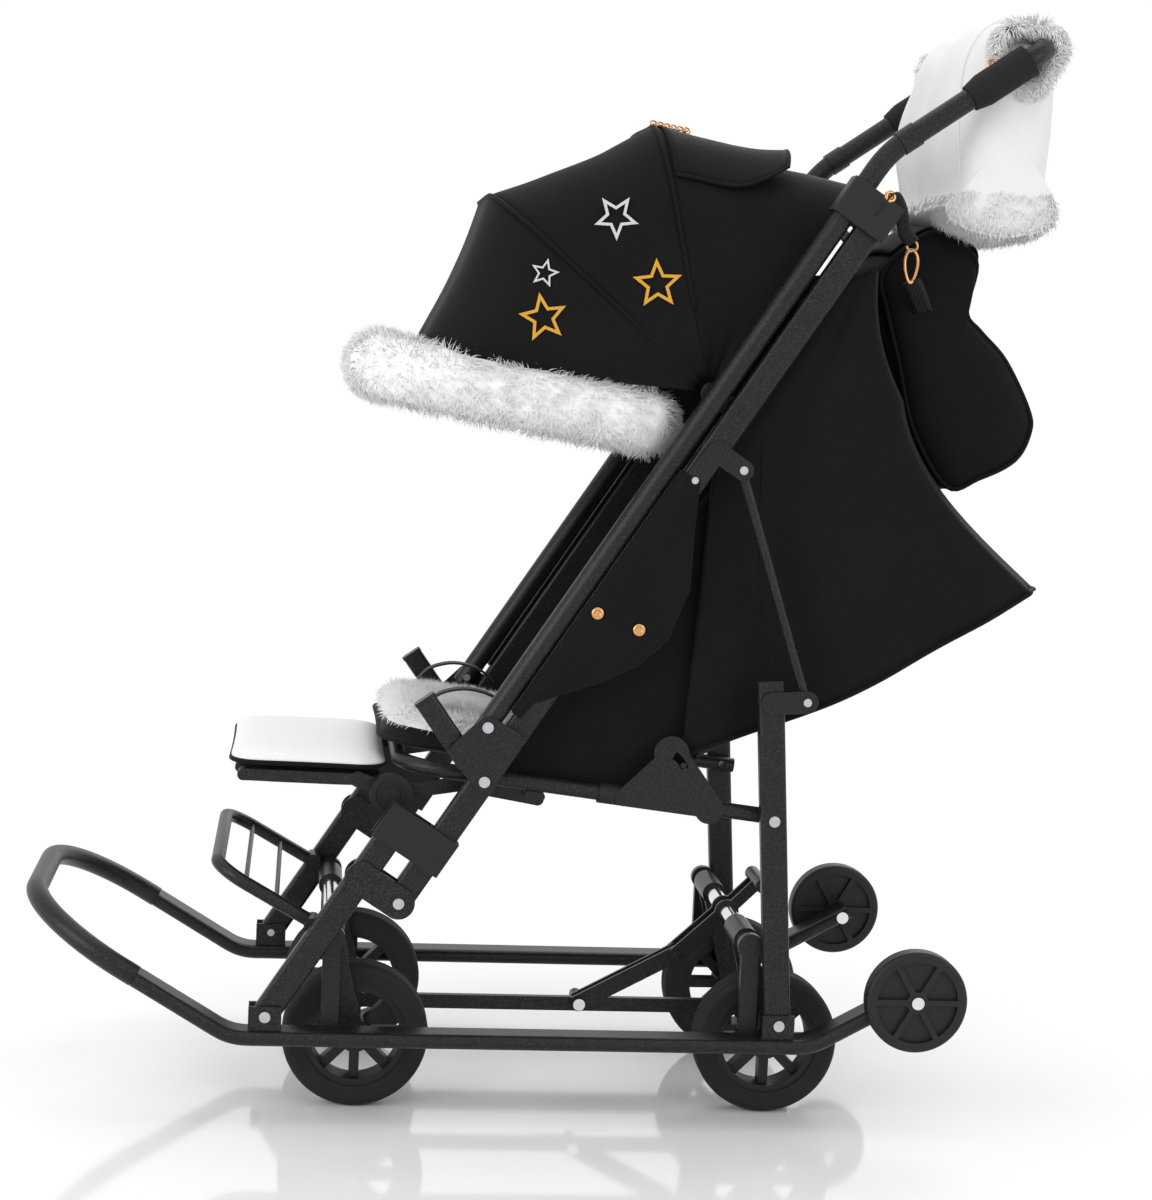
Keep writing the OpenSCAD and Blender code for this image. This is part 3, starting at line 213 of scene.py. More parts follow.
# Faux fur: white hairs with slightly warmer and greyer tufts
pile = Finish("white faux fur", Roughness=0.7, Sheen_Weight=0.3)
tuft = pile.contrast(pile.clouds(75.0, 4.0), 0.3, 0.62)
fur_white = pile.wire(Base_Color=pile.tones(tuft, "#f3f2f0", "#fefefd"))

# Muff cloth: white softshell with a weave of about 2 mm and soft tone changes
soft = Finish("white softshell cloth", Roughness=0.66, Sheen_Weight=0.2)
muff_cloth = soft.wire(Base_Color=soft.tones(soft.clouds(18.0, 4.0), "#e0dfdd", "#f3f2f1"),
                       Normal=soft.relief(soft.ribs(196.0, 0.5), 0.2, 0.0004))

# Brass: warm rose toned metal with light brushing
alloy = Finish("rose brass", Metallic=1.0)
brush = alloy.clouds(420.0, 3.0)
brass = alloy.wire(Roughness=alloy.scaled(brush, 0.16, 0.34),
                   Base_Color=alloy.tones(brush, "#c08552", "#e6b380"))


# Embroidery: satin stitches of about 1 mm in two tones, gold and silver
def embroidery(name, metal, dark, pale):
    thread = Finish(name, Roughness=0.42, Metallic=metal)
    stitch = thread.ribs(300.0, 1.5)
    return thread.wire(Base_Color=thread.tones(stitch, dark, pale), Normal=thread.relief(stitch, 0.5, 0.0005))


gold_thread = embroidery("gold embroidery thread", 0.35, "#b27a1c", "#f0b93c")
silver_thread = embroidery("silver embroidery thread", 0.3, "#a9abb0", "#e8e9ec")

FINISH = {"powder_coat": powder_coat, "chrome": chrome, "zinc": zinc, "plastic": plastic, "tyre": tyre,
          "foam": foam, "cloth": cloth, "leatherette": leatherette, "fur": fur_white,
          "muff_cloth": muff_cloth}
SLOT_OF = {n["node"]: n["material_slot"] for n in frame["record"]["subparts"]}
for name, part in frame["nodes"].items():
    for holder in part.material_slots:
        holder.material = FINISH[SLOT_OF[name]]


def only(piece):
    """Selects this piece alone and makes it active"""
    if bpy.context.object and bpy.context.object.mode != "OBJECT":
        bpy.ops.object.mode_set(mode="OBJECT")
    bpy.ops.object.select_all(action="DESELECT")
    if piece:
        piece.select_set(True)
        bpy.context.view_layer.objects.active = piece


def modify(piece, kind, **settings):
    """Adds a modifier and applies it"""
    only(piece)
    step = piece.modifiers.new(kind.lower(), kind)
    for key, value in settings.items():
        setattr(step, key, value)
    bpy.ops.object.modifier_apply(modifier=step.name)


def clean(piece):
    """Merges double points and turns the faces outwards"""
    only(piece)
    bpy.ops.object.mode_set(mode="EDIT")
    bpy.ops.mesh.select_all(action="SELECT")
    bpy.ops.mesh.remove_doubles(threshold=0.00002)
    bpy.ops.mesh.normals_make_consistent(inside=False)
    bpy.ops.object.mode_set(mode="OBJECT")


def dress(piece, material, body=None, hides=(), sharp=None):
    """Gives a piece its shading, finish and carrying body"""
    only(piece)
    if sharp:
        bpy.ops.object.shade_smooth_by_angle(angle=math.radians(sharp))
    else:
        bpy.ops.object.shade_smooth()
    piece.data.materials.clear()
    piece.data.materials.append(material)
    if body:
        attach(piece, body)
    if hides:
        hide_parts(*hides)
    return piece


def grid(name, across, length, put):
    """A flat grid whose points are moved to their places, by their share across and along"""
    only(None)
    bpy.ops.mesh.primitive_grid_add(x_subdivisions=across, y_subdivisions=length, size=2)
    piece = bpy.context.object
    piece.name = piece.data.name = name
    for v in piece.data.vertices:
        v.co = put((v.co.x + 1) / 2, (v.co.y + 1) / 2)
    return piece


def ball(name, around, rings, put):
    """A ball whose points are moved to their places, by their share round and from pole to pole"""
    only(None)
    bpy.ops.mesh.primitive_uv_sphere_add(segments=around, ring_count=rings, radius=1)
    piece = bpy.context.object
    piece.name = piece.data.name = name
    for v in piece.data.vertices:
        down = math.acos(max(-1, min(1, v.co.z))) / math.pi
        v.co = put((math.atan2(v.co.y, v.co.x) / (2 * math.pi)) % 1, down)
    return piece


def cord(name, points, radius, closed=False):
    """A round cord through points, as a mesh"""
    line = bpy.data.curves.new(name, "CURVE")
    line.dimensions = "3D"
    line.bevel_depth = radius
    line.bevel_resolution = 3
    line.use_fill_caps = not closed
    run = line.splines.new("POLY")
    run.points.add(len(points) - 1)
    for p, q in zip(run.points, points):
        p.co = (q[0], q[1], q[2], 1)
    run.use_cyclic_u = closed
    piece = bpy.data.objects.new(name, line)
    bpy.context.collection.objects.link(piece)
    only(piece)
    bpy.ops.object.convert(target="MESH")
    piece = bpy.context.object
    piece.data.name = name
    clean(piece)
    return piece


def sewn(name, points, radius, body, closed=False):
    """A cloth cord sewn along an edge or a seam"""
    return dress(cord(name, points, radius, closed), cloth, body)


def curve(a, b, c, d, t):
    """A point between b and c on the smooth line through four points"""
    low, high = 2 * a - 5 * b + 4 * c - d, 3 * b - a - 3 * c + d
    return 0.5 * ((2 * b) + (c - a) * t + low * t ** 2 + high * t ** 3)


def smooth_loop(points, share):
    """A point on the smooth closed line through points"""
    n = len(points)
    k = share % 1 * n
    i = int(k)
    return curve(*(Vector(points[(i + j) % n]) for j in (-1, 0, 1, 2)), k - i)


def fur(name, roots, length, seed, stand=0.62, grain=0.35):
    """Tapered hairs on root points, given as point, outward direction and combing direction

    They stand up by one share, and are shaded by the surface below with a share of their own roundness.
    """
    rng = random.Random(seed)
    points = []
    shades = []
    faces = []
    for root, out, comb in roots:
        reach = length * rng.uniform(0.6, 1.0)
        shake = Vector((rng.gauss(0, 0.16), rng.gauss(0, 0.16), rng.gauss(0, 0.16)))
        way = (stand * out + comb + shake).normalized()
        bent = (0.45 * stand * out + 1.3 * comb + shake).normalized()
        chance = Vector((rng.uniform(-1, 1), rng.uniform(-1, 1), rng.uniform(-1, 1)))
        side = way.cross(chance).normalized()
        other = way.cross(side)
        base = len(points)
        middle = root + way * reach * 0.5
        for centre, half in ((root - out * 0.002, HAIR_WIDTH / 2), (middle, HAIR_WIDTH * 0.4)):
            for k in range(3):
                round_way = side * math.cos(THIRD_TURN * k) + other * math.sin(THIRD_TURN * k)
                points.append(centre + round_way * half)
                shades.append((out + grain * round_way).normalized())
        points.append(middle + bent * reach * 0.5)
        shades.append((out + 0.3 * bent).normalized())
        faces.append((base, base + 2, base + 1))
        for k in range(3):
            m = (k + 1) % 3
            faces.append((base + k, base + m, base + 3 + m, base + 3 + k))
            faces.append((base + 3 + k, base + 3 + m, base + 6))
    mesh = bpy.data.meshes.new(name)
    mesh.from_pydata([tuple(p) for p in points], [], faces)
    mesh.shade_smooth()
    mesh.normals_split_custom_set_from_vertices([tuple(n) for n in shades])
    piece = bpy.data.objects.new(name, mesh)
    bpy.context.collection.objects.link(piece)
    return piece


def combed(p, out, run, seed):
    """The way hairs lie: downwards over the surface, swaying along it in tufts"""
    down = Vector((0, 0, -1))
    down -= out * down.dot(out)
    sway = noise.noise(p * 38 + Vector((seed, 0, 0)))
    return 0.45 * down + run * (0.9 * sway)


def cut_size(put, n=24):
    """The greatest width and length of a sheet before it was hung"""
    rows = [[put(i / n, j / n) for i in range(n + 1)] for j in range(n + 1)]
    wide = max(sum((a - b).length for a, b in zip(row, row[1:])) for row in rows)
    tall = max(sum((a - b).length for a, b in zip(line, line[1:])) for line in zip(*rows))
    return round(wide, 3), round(tall, 3)


def sheet(name, across, length, put, body=None, hides=(), soften=0, flat=None):
    """A cloth sheet, given cloth thickness, cleaned and dressed in cloth; its flat cut size is worked out but
    not kept
    """
    piece = grid(name, across, length, put)
    if soften:
        modify(piece, "SMOOTH", factor=0.5, iterations=soften)
    modify(piece, "SOLIDIFY", thickness=CLOTH_THICK, offset=0)
    clean(piece)
    dress(piece, cloth, body, hides=hides)
    flat or cut_size(put)
    return piece


# Hood: hoops by angle round the pivot, reach and half width
HOOPS = [(176.0, 0.2965, 0.1580), (140.0, 0.2920, 0.1575), (103.0, 0.2720, 0.1550), (55.0, 0.2640, 0.1520)]
FRONT_HOOP, SECOND_HOOP, THIRD_HOOP, REAR_HOOP = (hoop[0] for hoop in HOOPS)
# Corner radius of its arch, distance from the pivot to the cloth, angle and depth of the front tuck
HOOD_ROUND = 0.075
HOOD_START = 0.016
TUCK_FROM, TUCK_DEEP = 165, 0.023


def hoop_at(angle):
    """Reach, half width, share between two hoops and their half angle"""
    for (a0, r0, w0), (a1, r1, w1) in zip(HOOPS, HOOPS[1:]):
        if a1 - 0.001 <= angle:
            break
    t = (a0 - angle) / (a0 - a1)
    return r0 + (r1 - r0) * t, w0 + (w1 - w0) * t, t, (a0 - a1) / 2


def hood_side(angle, rho):
    """Half width of the hood side, drawn in between the hoops and tucked into the fur roll at the front"""
    reach, width, t, _ = hoop_at(angle)
    pull = 0.0055 * math.sin(math.pi * t) * math.sin(math.pi * min(1, rho / reach) ** 0.8)
    ripple = 0.0012 * noise.noise(Vector((angle / 9, rho * 22, 1.7)))
    ahead = max(0, (angle - TUCK_FROM) / (FRONT_HOOP - TUCK_FROM))
    tuck = TUCK_DEEP * ahead ** 2 * max(0, min(1, (rho - 0.04) / 0.06))
    return width - pull - tuck + ripple


def hood_point(angle, s, lift=0.0):
    """A point of the hood by angle and by share round its arch"""
    reach, width, t, half = hoop_at(angle)
    h = math.radians(half)
    reach = reach * math.cos(h) / math.cos(h * (2 * t - 1)) - 0.005 * math.sin(math.pi * t)
    k = HOOD_ROUND
    side, arc, top = reach - k - HOOD_START, math.pi * k / 2, width - k
    mirrored = s > 0.5
    q = (1 - s if mirrored else s) * 2 * (side + arc + top)
    if q < side:
        rho, inset, out_r, out_y = HOOD_START + q, 0.0, 0.0, 1.0
    elif q < side + arc:
        a = (q - side) / k
        rho, inset, out_r, out_y = reach - k + k * math.sin(a), k - k * math.cos(a), math.sin(a), math.cos(a)
    else:
        rho, inset, out_r, out_y = reach, k + q - side - arc, 1.0, 0.0
    rho += lift * out_r + 0.0015 * out_r * noise.noise(Vector((angle / 12, s * 8, 4.2)))
    y = hood_side(angle, rho) - inset + lift * out_y
    x, z = along(HOOD_PIVOT, angle, rho)
    return Vector((x, y if mirrored else -y, z))


def hood_mark(angle, reach=0.285):
    """A point in the middle plane by angle and reach from the hood pivot"""
    x, z = along(HOOD_PIVOT, angle, reach)
    return Vector((x, 0, z))


def hood_cloth(name, a0, a1, node, steps):
    """A hood panel between two angles"""
    def put(u, v):
        return hood_point(a0 + (a1 - a0) * v, u)
    return sheet(name, 84, steps, put, hides=(node,))


def welt(name, angle, body, clear=0.0):
    """A sewn cord over the hood along one hoop, clear of the pivots by a share of its length"""
    n = 90
    line = [hood_point(angle, clear + (1 - 2 * clear) * i / n, 0.0008) for i in range(n + 1)]
    sewn(name, line, 0.0022, body)


def hood_ride_end(first, last, share):
    """End of a blend line from the first hoop to the last, on which the pivot takes a share of the turn"""
    a, b = hood_mark(first) - hood_mark(first, 0), hood_mark(last) - hood_mark(last, 0)
    flat = a.x * b.z - a.z * b.x
    e = Vector((-share * b.z - (1 - share) * a.z, 0, (1 - share) * a.x + share * b.x)) / flat
    return hood_mark(first) + e / e.length_squared


FRONT_RIDE = ("hood_2", "hood_1", hood_mark(SECOND_HOOP), hood_ride_end(SECOND_HOOP, FRONT_HOOP, 0.25))
MID_RIDE = ("main_frame", "hood_2", hood_mark(THIRD_HOOP), hood_mark(SECOND_HOOP))
hood_front = hood_cloth("hood_front_panel", FRONT_HOOP, SECOND_HOOP, "hood_front", 16)
hood_mid = hood_cloth("hood_mid_panel", SECOND_HOOP, THIRD_HOOP, "hood_mid", 16)
hood_rear = hood_cloth("hood_rear_panel", THIRD_HOOP, REAR_HOOP, "hood_rear", 20)
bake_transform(hood_front)
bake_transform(hood_mid)
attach(hood_rear, "main_frame")
welt("hood_front_welt", SECOND_HOOP, "hood_2")
welt("hood_mid_welt", THIRD_HOOP, "main_frame", 0.09)
welt("hood_rear_welt", REAR_HOOP + 0.2, "main_frame")


# Flap over the back of the hood, hemmed, its rear edge standing away and its corners hanging down the sides
def flap_point(u, v):
    angle = 101.5 - 29 * v
    corner = 0.045 * max(0, (v - 0.5) / 0.5) ** 2
    s = 0.27 + corner + (0.46 - 2 * corner) * u
    return hood_point(angle, s, 0.004 + 0.016 * v ** 2)


sheet("hood_flap", 44, 16, flap_point, "main_frame")
edge = [flap_point(0, i / 12) for i in range(13)] + [flap_point(i / 32, 1) for i in range(1, 32)]
edge += [flap_point(1, 1 - i / 12) for i in range(13)]
sewn("hood_flap_hem", edge, 0.0018, "main_frame")


# Outline stars embroidered on the hood sides
STITCH_THICK, STITCH_LIFT = 0.0012, 0.0019


def star(name, angle, rho, size, turn, side, material):
    """A star by its angle and distance from the hood pivot, its size and its own turn in degrees"""
    only(None)
    bpy.ops.mesh.primitive_circle_add(vertices=10, radius=size, fill_type="NGON")
    piece = bpy.context.object
    piece.name = piece.data.name = name
    for v in piece.data.vertices:
        if v.index % 2:
            v.co *= 0.45
    bpy.ops.object.mode_set(mode="EDIT")
    bpy.ops.mesh.select_all(action="SELECT")
    bpy.ops.mesh.inset(thickness=size * 0.12, depth=0)
    bpy.ops.mesh.delete(type="FACE")
    bpy.ops.mesh.select_all(action="SELECT")
    bpy.ops.mesh.subdivide(number_cuts=3)
    bpy.ops.object.mode_set(mode="OBJECT")
    centre = along(HOOD_PIVOT, angle, rho)
    turn = math.radians(turn)
    for v in piece.data.vertices:
        x = centre[0] + v.co.x * math.cos(turn) - v.co.y * math.sin(turn)
        z = centre[1] + v.co.x * math.sin(turn) + v.co.y * math.cos(turn)
        dx, dz = x - HOOD_PIVOT[0], z - HOOD_PIVOT[1]
        at = math.degrees(math.atan2(dz, dx))
        v.co = (x, side * (hood_side(at, math.hypot(dx, dz)) + STITCH_LIFT), z)
    modify(piece, "SOLIDIFY", thickness=STITCH_THICK, offset=0)
    clean(piece)
    dress(piece, material, sharp=35)
    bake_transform(piece)


for side, tag in SIDES:
    star(f"star_a_{tag}", 158.5, 0.183, 0.0255, 12, side, gold_thread)
    star(f"star_b_{tag}", 121.0, 0.198, 0.0235, 40, side, silver_thread)
    star(f"star_c_{tag}", 118.5, 0.120, 0.0260, 5, side, gold_thread)
    star(f"star_d_{tag}", 147.0, 0.204, 0.0150, 60, side, silver_thread)

# Fur roll: a path round the front of the hood, a soft core and hairs on it
FUR_SLOPE = 170
FUR_DIR = math.radians(FUR_SLOPE)
FUR_FROM = along(HOOD_PIVOT, FUR_SLOPE, 0.026, -0.042)
FUR_RUN, FUR_CORNER, FUR_Y = 0.230, 0.070, 0.128
FUR_R, FUR_END = 0.0310, 0.026
FUR_BEND = math.pi / 2 * FUR_CORNER
FUR_PARTS = [FUR_RUN, FUR_BEND, 2 * (FUR_Y - FUR_CORNER), FUR_BEND, FUR_RUN]
HOOD_HAIRS = 19000
CAP_SHARE = 0.026


def fur_path(share):
    """A point of the roll's middle line and the way it runs there"""
    q = max(0, min(1, share)) * sum(FUR_PARTS)
    k = 0
    while k < 4 and q > FUR_PARTS[k]:
        q -= FUR_PARTS[k]
        k += 1
    inner = FUR_Y - FUR_CORNER
    if k == 0:
        d, y, td, ty = q, -FUR_Y, 1, 0
    elif k == 1:
        td, ty = math.cos(q / FUR_CORNER), math.sin(q / FUR_CORNER)
        d, y = FUR_RUN + FUR_CORNER * ty, -inner - FUR_CORNER * td
    elif k == 2:
        d, y, td, ty = FUR_RUN + FUR_CORNER, -inner + q, 0, 1
    elif k == 3:
        td, ty = -math.sin(q / FUR_CORNER), math.cos(q / FUR_CORNER)
        d, y = FUR_RUN + FUR_CORNER * ty, inner - FUR_CORNER * td
    else:
        d, y, td, ty = FUR_RUN - q, FUR_Y, -1, 0
    c, s = math.cos(FUR_DIR), math.sin(FUR_DIR)
    sag = -0.004 * math.sin(math.pi * share)
    return Vector((FUR_FROM[0] + d * c, y, FUR_FROM[1] + d * s + sag)), Vector((td * c, ty, td * s))


def roll_point(share, turn, radius):
    """A point round the roll's middle line, its outward direction and the way the roll runs"""
    centre, run = fur_path(share)
    up = Vector((0, 0, 1))
    across = run.cross(up).normalized()
    up = across.cross(run).normalized()
    out = across * math.cos(turn) + up * math.sin(turn)
    return centre + out * radius, out, run


def roll_core(u, v):
    """A point of the soft core, rounded at both ends"""
    end = min(v, 1 - v) * sum(FUR_PARTS)
    radius = FUR_R * math.sqrt(max(0.0, 1 - max(0, 1 - end / FUR_END) ** 2)) + 0.00005
    p, out, _ = roll_point(v, 2 * math.pi * u, radius)
    return p + out * 0.002 * noise.noise(p * 45) * min(1, radius / 0.01)


fur_core = grid("hood_fur_core", 36, 180, roll_core)
clean(fur_core)
dress(fur_core, fur_white, "hood_1")
rng = random.Random(7)
roots = []
for _ in range(HOOD_HAIRS):
    share = rng.uniform(-0.02, 1.02)
    turn = rng.uniform(0, 2 * math.pi)
    if CAP_SHARE < share < 1 - CAP_SHARE:
        p, out, run = roll_point(share, turn, FUR_R - 0.001)
    else:
        first = share < 0.5
        q, out, run = roll_point(0.0 if first else 1.0, turn, 0.0)
        cap = rng.uniform(0, math.pi / 2)
        out = (out * math.sin(cap) + (-run if first else run) * math.cos(cap)).normalized()
        q += (run if first else -run) * FUR_END
        p = q + out * (FUR_R - 0.002)
    roots.append((p, out, combed(p, out, run, 2.0)))
hood_fur = fur("hood_fur_hair", roots, 0.015, 11)
dress(hood_fur, fur_white, "hood_1", hides=("hood_fur",))


# Pads of the seat, the backrest and the calf rest: length, width, thickness, edge thickness and corner radius
SEAT = (0.261, 0.276, 0.036, 0.011, 0.05)
LINING = (0.150, 0.262, 0.024, 0.010, 0.06)
BACK = (0.386, 0.270, 0.036, 0.010, 0.055)
CALF = (0.158, 0.264, 0.019, 0.009, 0.030)
TRAY = (0.150, 0.258, 0.026, 0.012, 0.030)
SEAT_HAIRS = 12000


def pad_point(size, channels, a, b, c):
    """A point of a crowned pad from X = 0, by its share in length, width and height, each from -1 to 1"""
    run, wide, thick, edge, corner = size
    x, y = a * run / 2, b * wide / 2
    ex, ey = max(0, abs(x) - (run / 2 - corner)), max(0, abs(y) - (wide / 2 - corner))
    if ex > 0 and ey > 0:
        f = max(ex, ey) / math.hypot(ex, ey)
        x = math.copysign(run / 2 - corner + ex * f, x)
        y = math.copysign(wide / 2 - corner + ey * f, y)
    x *= 1 - 0.02 * math.cos(math.pi / 2 * b)
    y *= 1 - 0.02 * math.cos(math.pi / 2 * a)
    full = (max(0, 1 - abs(a) ** 5) * max(0, 1 - abs(b) ** 5)) ** 0.45
    top = edge + (thick - edge) * full
    for k in channels:
        top -= 0.22 * thick * math.exp(-((x + run / 2 - k * run) / 0.006) ** 2) * full
    low = edge * (1 - full) * 0.8
    return Vector((x + run / 2, y, low + (top - low) * (c + 1) / 2))


def pad(name, size, channels, put):
    """A padded board: a block cut into small squares and crowned, with sewn channels, then softened"""
    only(None)
    bpy.ops.mesh.primitive_cube_add(size=2)
    piece = bpy.context.object
    piece.name = piece.data.name = name
    bpy.ops.object.mode_set(mode="EDIT")
    bpy.ops.mesh.select_all(action="SELECT")
    bpy.ops.mesh.subdivide(number_cuts=27)
    bpy.ops.object.mode_set(mode="OBJECT")
    for v in piece.data.vertices:
        v.co = put @ pad_point(size, channels, *v.co)
    clean(piece)
    modify(piece, "SUBSURF", levels=1, render_levels=1)
    return piece


def pad_rim(name, size, edge, put, radius, body):
    """A sewn cord round the edge of a pad"""
    run, wide, _, _, corner = size
    line = []
    for i in range(120):
        q = i / 30
        side, t = int(q), 2 * (q % 1) - 1
        a, b = ((t, -1), (1, t), (-t, 1), (-1, -t))[side]
        line.append(put @ pad_point((run, wide, edge, edge, corner), (), a, b, 0.2))
    sewn(name, line, radius, body, closed=True)


def turned_at(p, angle):
    """A place in the side view turned by an angle, X forward along the pad"""
    return Matrix.Translation((p[0], 0, p[1])) @ Matrix.Rotation(-math.radians(angle), 4, "Y")


seat_put = turned_at(along(SEAT_PIVOT, RAIL_ANGLE, -0.108, -0.0084), RAIL_ANGLE)
seat = pad("seat_pad", SEAT, (0.35, 0.68), seat_put)
dress(seat, cloth, "seat", hides=("seat_cushion",))
pad_rim("seat_welt", SEAT, 0.011, seat_put, 0.0026, "seat")

# White fur lining over the front half of the seat
lining_put = seat_put @ Matrix.Translation((0.006, 0, 0.017))
lining = pad("seat_lining", LINING, (), lining_put)
dress(lining, fur_white, "seat")
rng = random.Random(3)
roots = []
turn = lining_put.to_3x3()
e = 0.02
for _ in range(SEAT_HAIRS):
    a = rng.uniform(-1.0, 1.0)
    b = rng.uniform(-1.0, 1.0)
    p = pad_point(LINING, (), a, b, 1)
    du = pad_point(LINING, (), a + e if a < 0.9 else a - e, b, 1) - p
    dv = pad_point(LINING, (), a, b + e if b < 0.9 else b - e, 1) - p
    out = du.cross(dv)
    if out.z < 0:
        out = -out
    out = out.normalized() if out.length > 1e-9 else Vector((0, 0, 1))
    rim = max(abs(a), abs(b)) ** 6
    out = (out + Vector((a, b, 0)) * rim).normalized()
    at = lining_put @ p
    ahead = turn @ Vector((-1, 0.4 * b, 0))
    roots.append((at, turn @ out, combed(at, turn @ out, ahead, 5.0) + 0.3 * ahead))
seat_fur = fur("seat_fur", roots, 0.013, 5, 0.5, 0.9)
dress(seat_fur, fur_white, "seat")

back_put = turned_at(RECLINE, BACK_ANGLE) @ Matrix.Translation((0.020, 0, -0.004))
back = pad("backrest_pad", BACK, (0.3, 0.6), back_put)
dress(back, cloth, "back", hides=("backrest",))
pad_rim("backrest_welt", BACK, 0.010, back_put, 0.0026, "back")

# Calf rest: a white pad over a black cloth tray that takes in its frame
calf_put = turned_at(along((CALF_PIVOT[0], CALF_PIVOT[1] + 0.012), 179, 0.164, 0.0084), -1)
calf = pad("calf_pad_cover", CALF, (), calf_put)
dress(calf, leatherette, "calf", hides=("calf_pad",))
pad_rim("calf_welt", CALF, 0.005, calf_put, 0.0024, "calf")
tray_put = calf_put @ Matrix.Translation((0.154, 0, 0.004)) @ Matrix.Rotation(math.pi, 4, "Y")
tray = pad("calf_tray", TRAY, (), tray_put)
dress(tray, cloth, "calf")

# Side panels between the main tubes and the seat
low_front = along(SEAT_PIVOT, RAIL_ANGLE, -0.006, 0.004)
low_back = along(SEAT_PIVOT, RAIL_ANGLE, 0.186, 0.004)
wing_top = along(MAIN_FOOT, MAIN_ANGLE, 0.600, 0.030)
wing_low = along(MAIN_FOOT, MAIN_ANGLE, 0.155, 0.004)


def wing_point(side):
    """The points of one side panel, by their share along and up"""
    def put(u, v):
        bottom = mix(low_front, low_back, u)
        top = mix(wing_low, wing_top, u ** 0.75)
        bow = 0.060 * u * math.sin(math.pi * v)
        p = mix(bottom, top, v)
        y = 0.1476 + 0.0018 * noise.noise(Vector((u * 4, v * 5, 2.0)))
        return Vector((p[0] + bow * 0.75, side * y, p[1] - bow * 0.45))
    return put


for side, tag in SIDES:
    wing = sheet(f"side_panel_{tag}", 28, 40, wing_point(side),
                 hides=("side_wings",), flat=(0.450, 0.170))
    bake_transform(wing)


# Flaps wrapped round the main tubes, with a rounded lower corner
FLAP_FROM, FLAP_LONG, FLAP_WRAP = 0.222, 0.295, 0.12
FLAP_OFF, FLAP_Y = -0.0154, 0.1905
FLAP_EDGE = [(0.222, -0.008), (0.243, -0.005), (0.273, 0.019), (0.297, 0.038), (0.333, 0.060), (0.370, 0.069),
             (0.423, 0.058), (0.473, 0.028), (0.517, 0.004)]


def side_flap_point(side):
    """The points of one flap, by their share out from the tube and along it"""
    def put(u, v):
        k = min(7.999, v * 8)
        i = int(k)
        edge_run, edge_off = mix(FLAP_EDGE[i], FLAP_EDGE[i + 1], k - i)
        run = FLAP_FROM + FLAP_LONG * v
        if u < FLAP_WRAP:
            off, y = FLAP_OFF, FLAP_Y - 0.0160 + 0.0160 * u / FLAP_WRAP
        else:
            t = (u - FLAP_WRAP) / (1 - FLAP_WRAP)
            run += (edge_run - run) * t
            off = FLAP_OFF + (edge_off - FLAP_OFF) * t
            y = FLAP_Y + 0.0014 * math.sin(math.pi * t) + 0.0010 * noise.noise(Vector((t * 4, v * 6, 8.0)))
        p = along(MAIN_FOOT, MAIN_ANGLE, run, off)
        return Vector((p[0], side * y, p[1]))
    return put


# Brass snap: a low button with a raised rim and a dished middle
only(None)
bpy.ops.mesh.primitive_cylinder_add(vertices=28, radius=0.0062, depth=0.0026)
snap = bpy.context.object
snap.name = snap.data.name = "snap"
bpy.ops.object.mode_set(mode="EDIT")
bpy.ops.mesh.select_all(action="DESELECT")
bpy.ops.object.mode_set(mode="OBJECT")
for f in snap.data.polygons:
    f.select = f.normal.z > 0.9
bpy.ops.object.mode_set(mode="EDIT")
bpy.ops.mesh.select_mode(type="FACE")
bpy.ops.mesh.inset(thickness=0.0012, depth=0)
bpy.ops.transform.translate(value=(0, 0, 0.0007))
bpy.ops.mesh.inset(thickness=0.0014, depth=0)
bpy.ops.mesh.inset(thickness=0.0008, depth=0)
bpy.ops.transform.translate(value=(0, 0, -0.0011))
bpy.ops.object.mode_set(mode="OBJECT")
modify(snap, "BEVEL", width=0.0003, segments=2, limit_method="ANGLE", angle_limit=0.6)
clean(snap)
snap_mesh = snap.data.copy()
bpy.data.objects.remove(snap)


def snap_on(name, place, out, body):
    """A copy of the snap at a place, its face turned outwards"""
    mesh = snap_mesh.copy()
    turn = Vector((0, 0, 1)).rotation_difference(Vector(out).normalized()).to_matrix().to_4x4()
    mesh.transform(Matrix.Translation(place) @ turn)
    piece = bpy.data.objects.new(name, mesh)
    mesh.name = name
    bpy.context.collection.objects.link(piece)
    return dress(piece, brass, body, sharp=40)


for side, tag in SIDES:
    put = side_flap_point(side)
    sheet(f"side_flap_{tag}", 34, 48, put, "main_frame")
    sewn(f"side_flap_hem_{tag}", [put(1, i / 40) for i in range(41)], 0.0018, "main_frame")
    for k, (x, z) in enumerate(((0.0444, 0.5251), (0.0867, 0.5098))):
        snap_on(f"flap_snap_{k}_{tag}", Vector((x, side * 0.1930, z)), (0, side, 0), "main_frame")

# Cape behind the seat: front line, rear line and hanging folds
CAPE_TOP = along(MAIN_FOOT, MAIN_ANGLE, 0.796, 0.0155)
CAPE_SEAM = along(MAIN_FOOT, MAIN_ANGLE, 0.5315, 0.0155)
CAPE_FOOT = (RECLINE[0] + 0.020, RECLINE[1] + 0.020)
CAPE_TIP = along(RECLINE, BACK_ANGLE, 0.418, -0.006)
CAPE_HALF = 0.1595
CAPE_BEND = 0.36
SEAM_AT = 0.45


def folded(piece):
    """Gives cloth behind the frame its own copy of its mesh"""
    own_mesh(piece)
    return piece


def cape_rear(v):
    """The cape's rear line in the side view"""
    p = mix(CAPE_TOP, CAPE_TIP, v)
    s = math.sin(math.pi * v)
    hollow = 0.018 * math.sin(2 * math.pi * (v - 0.5)) + 0.016 * (v - 0.5) if v > 0.5 else 0.0
    return (p[0] - 0.062 * s + 0.014 - hollow, p[1] + 0.024 * s)


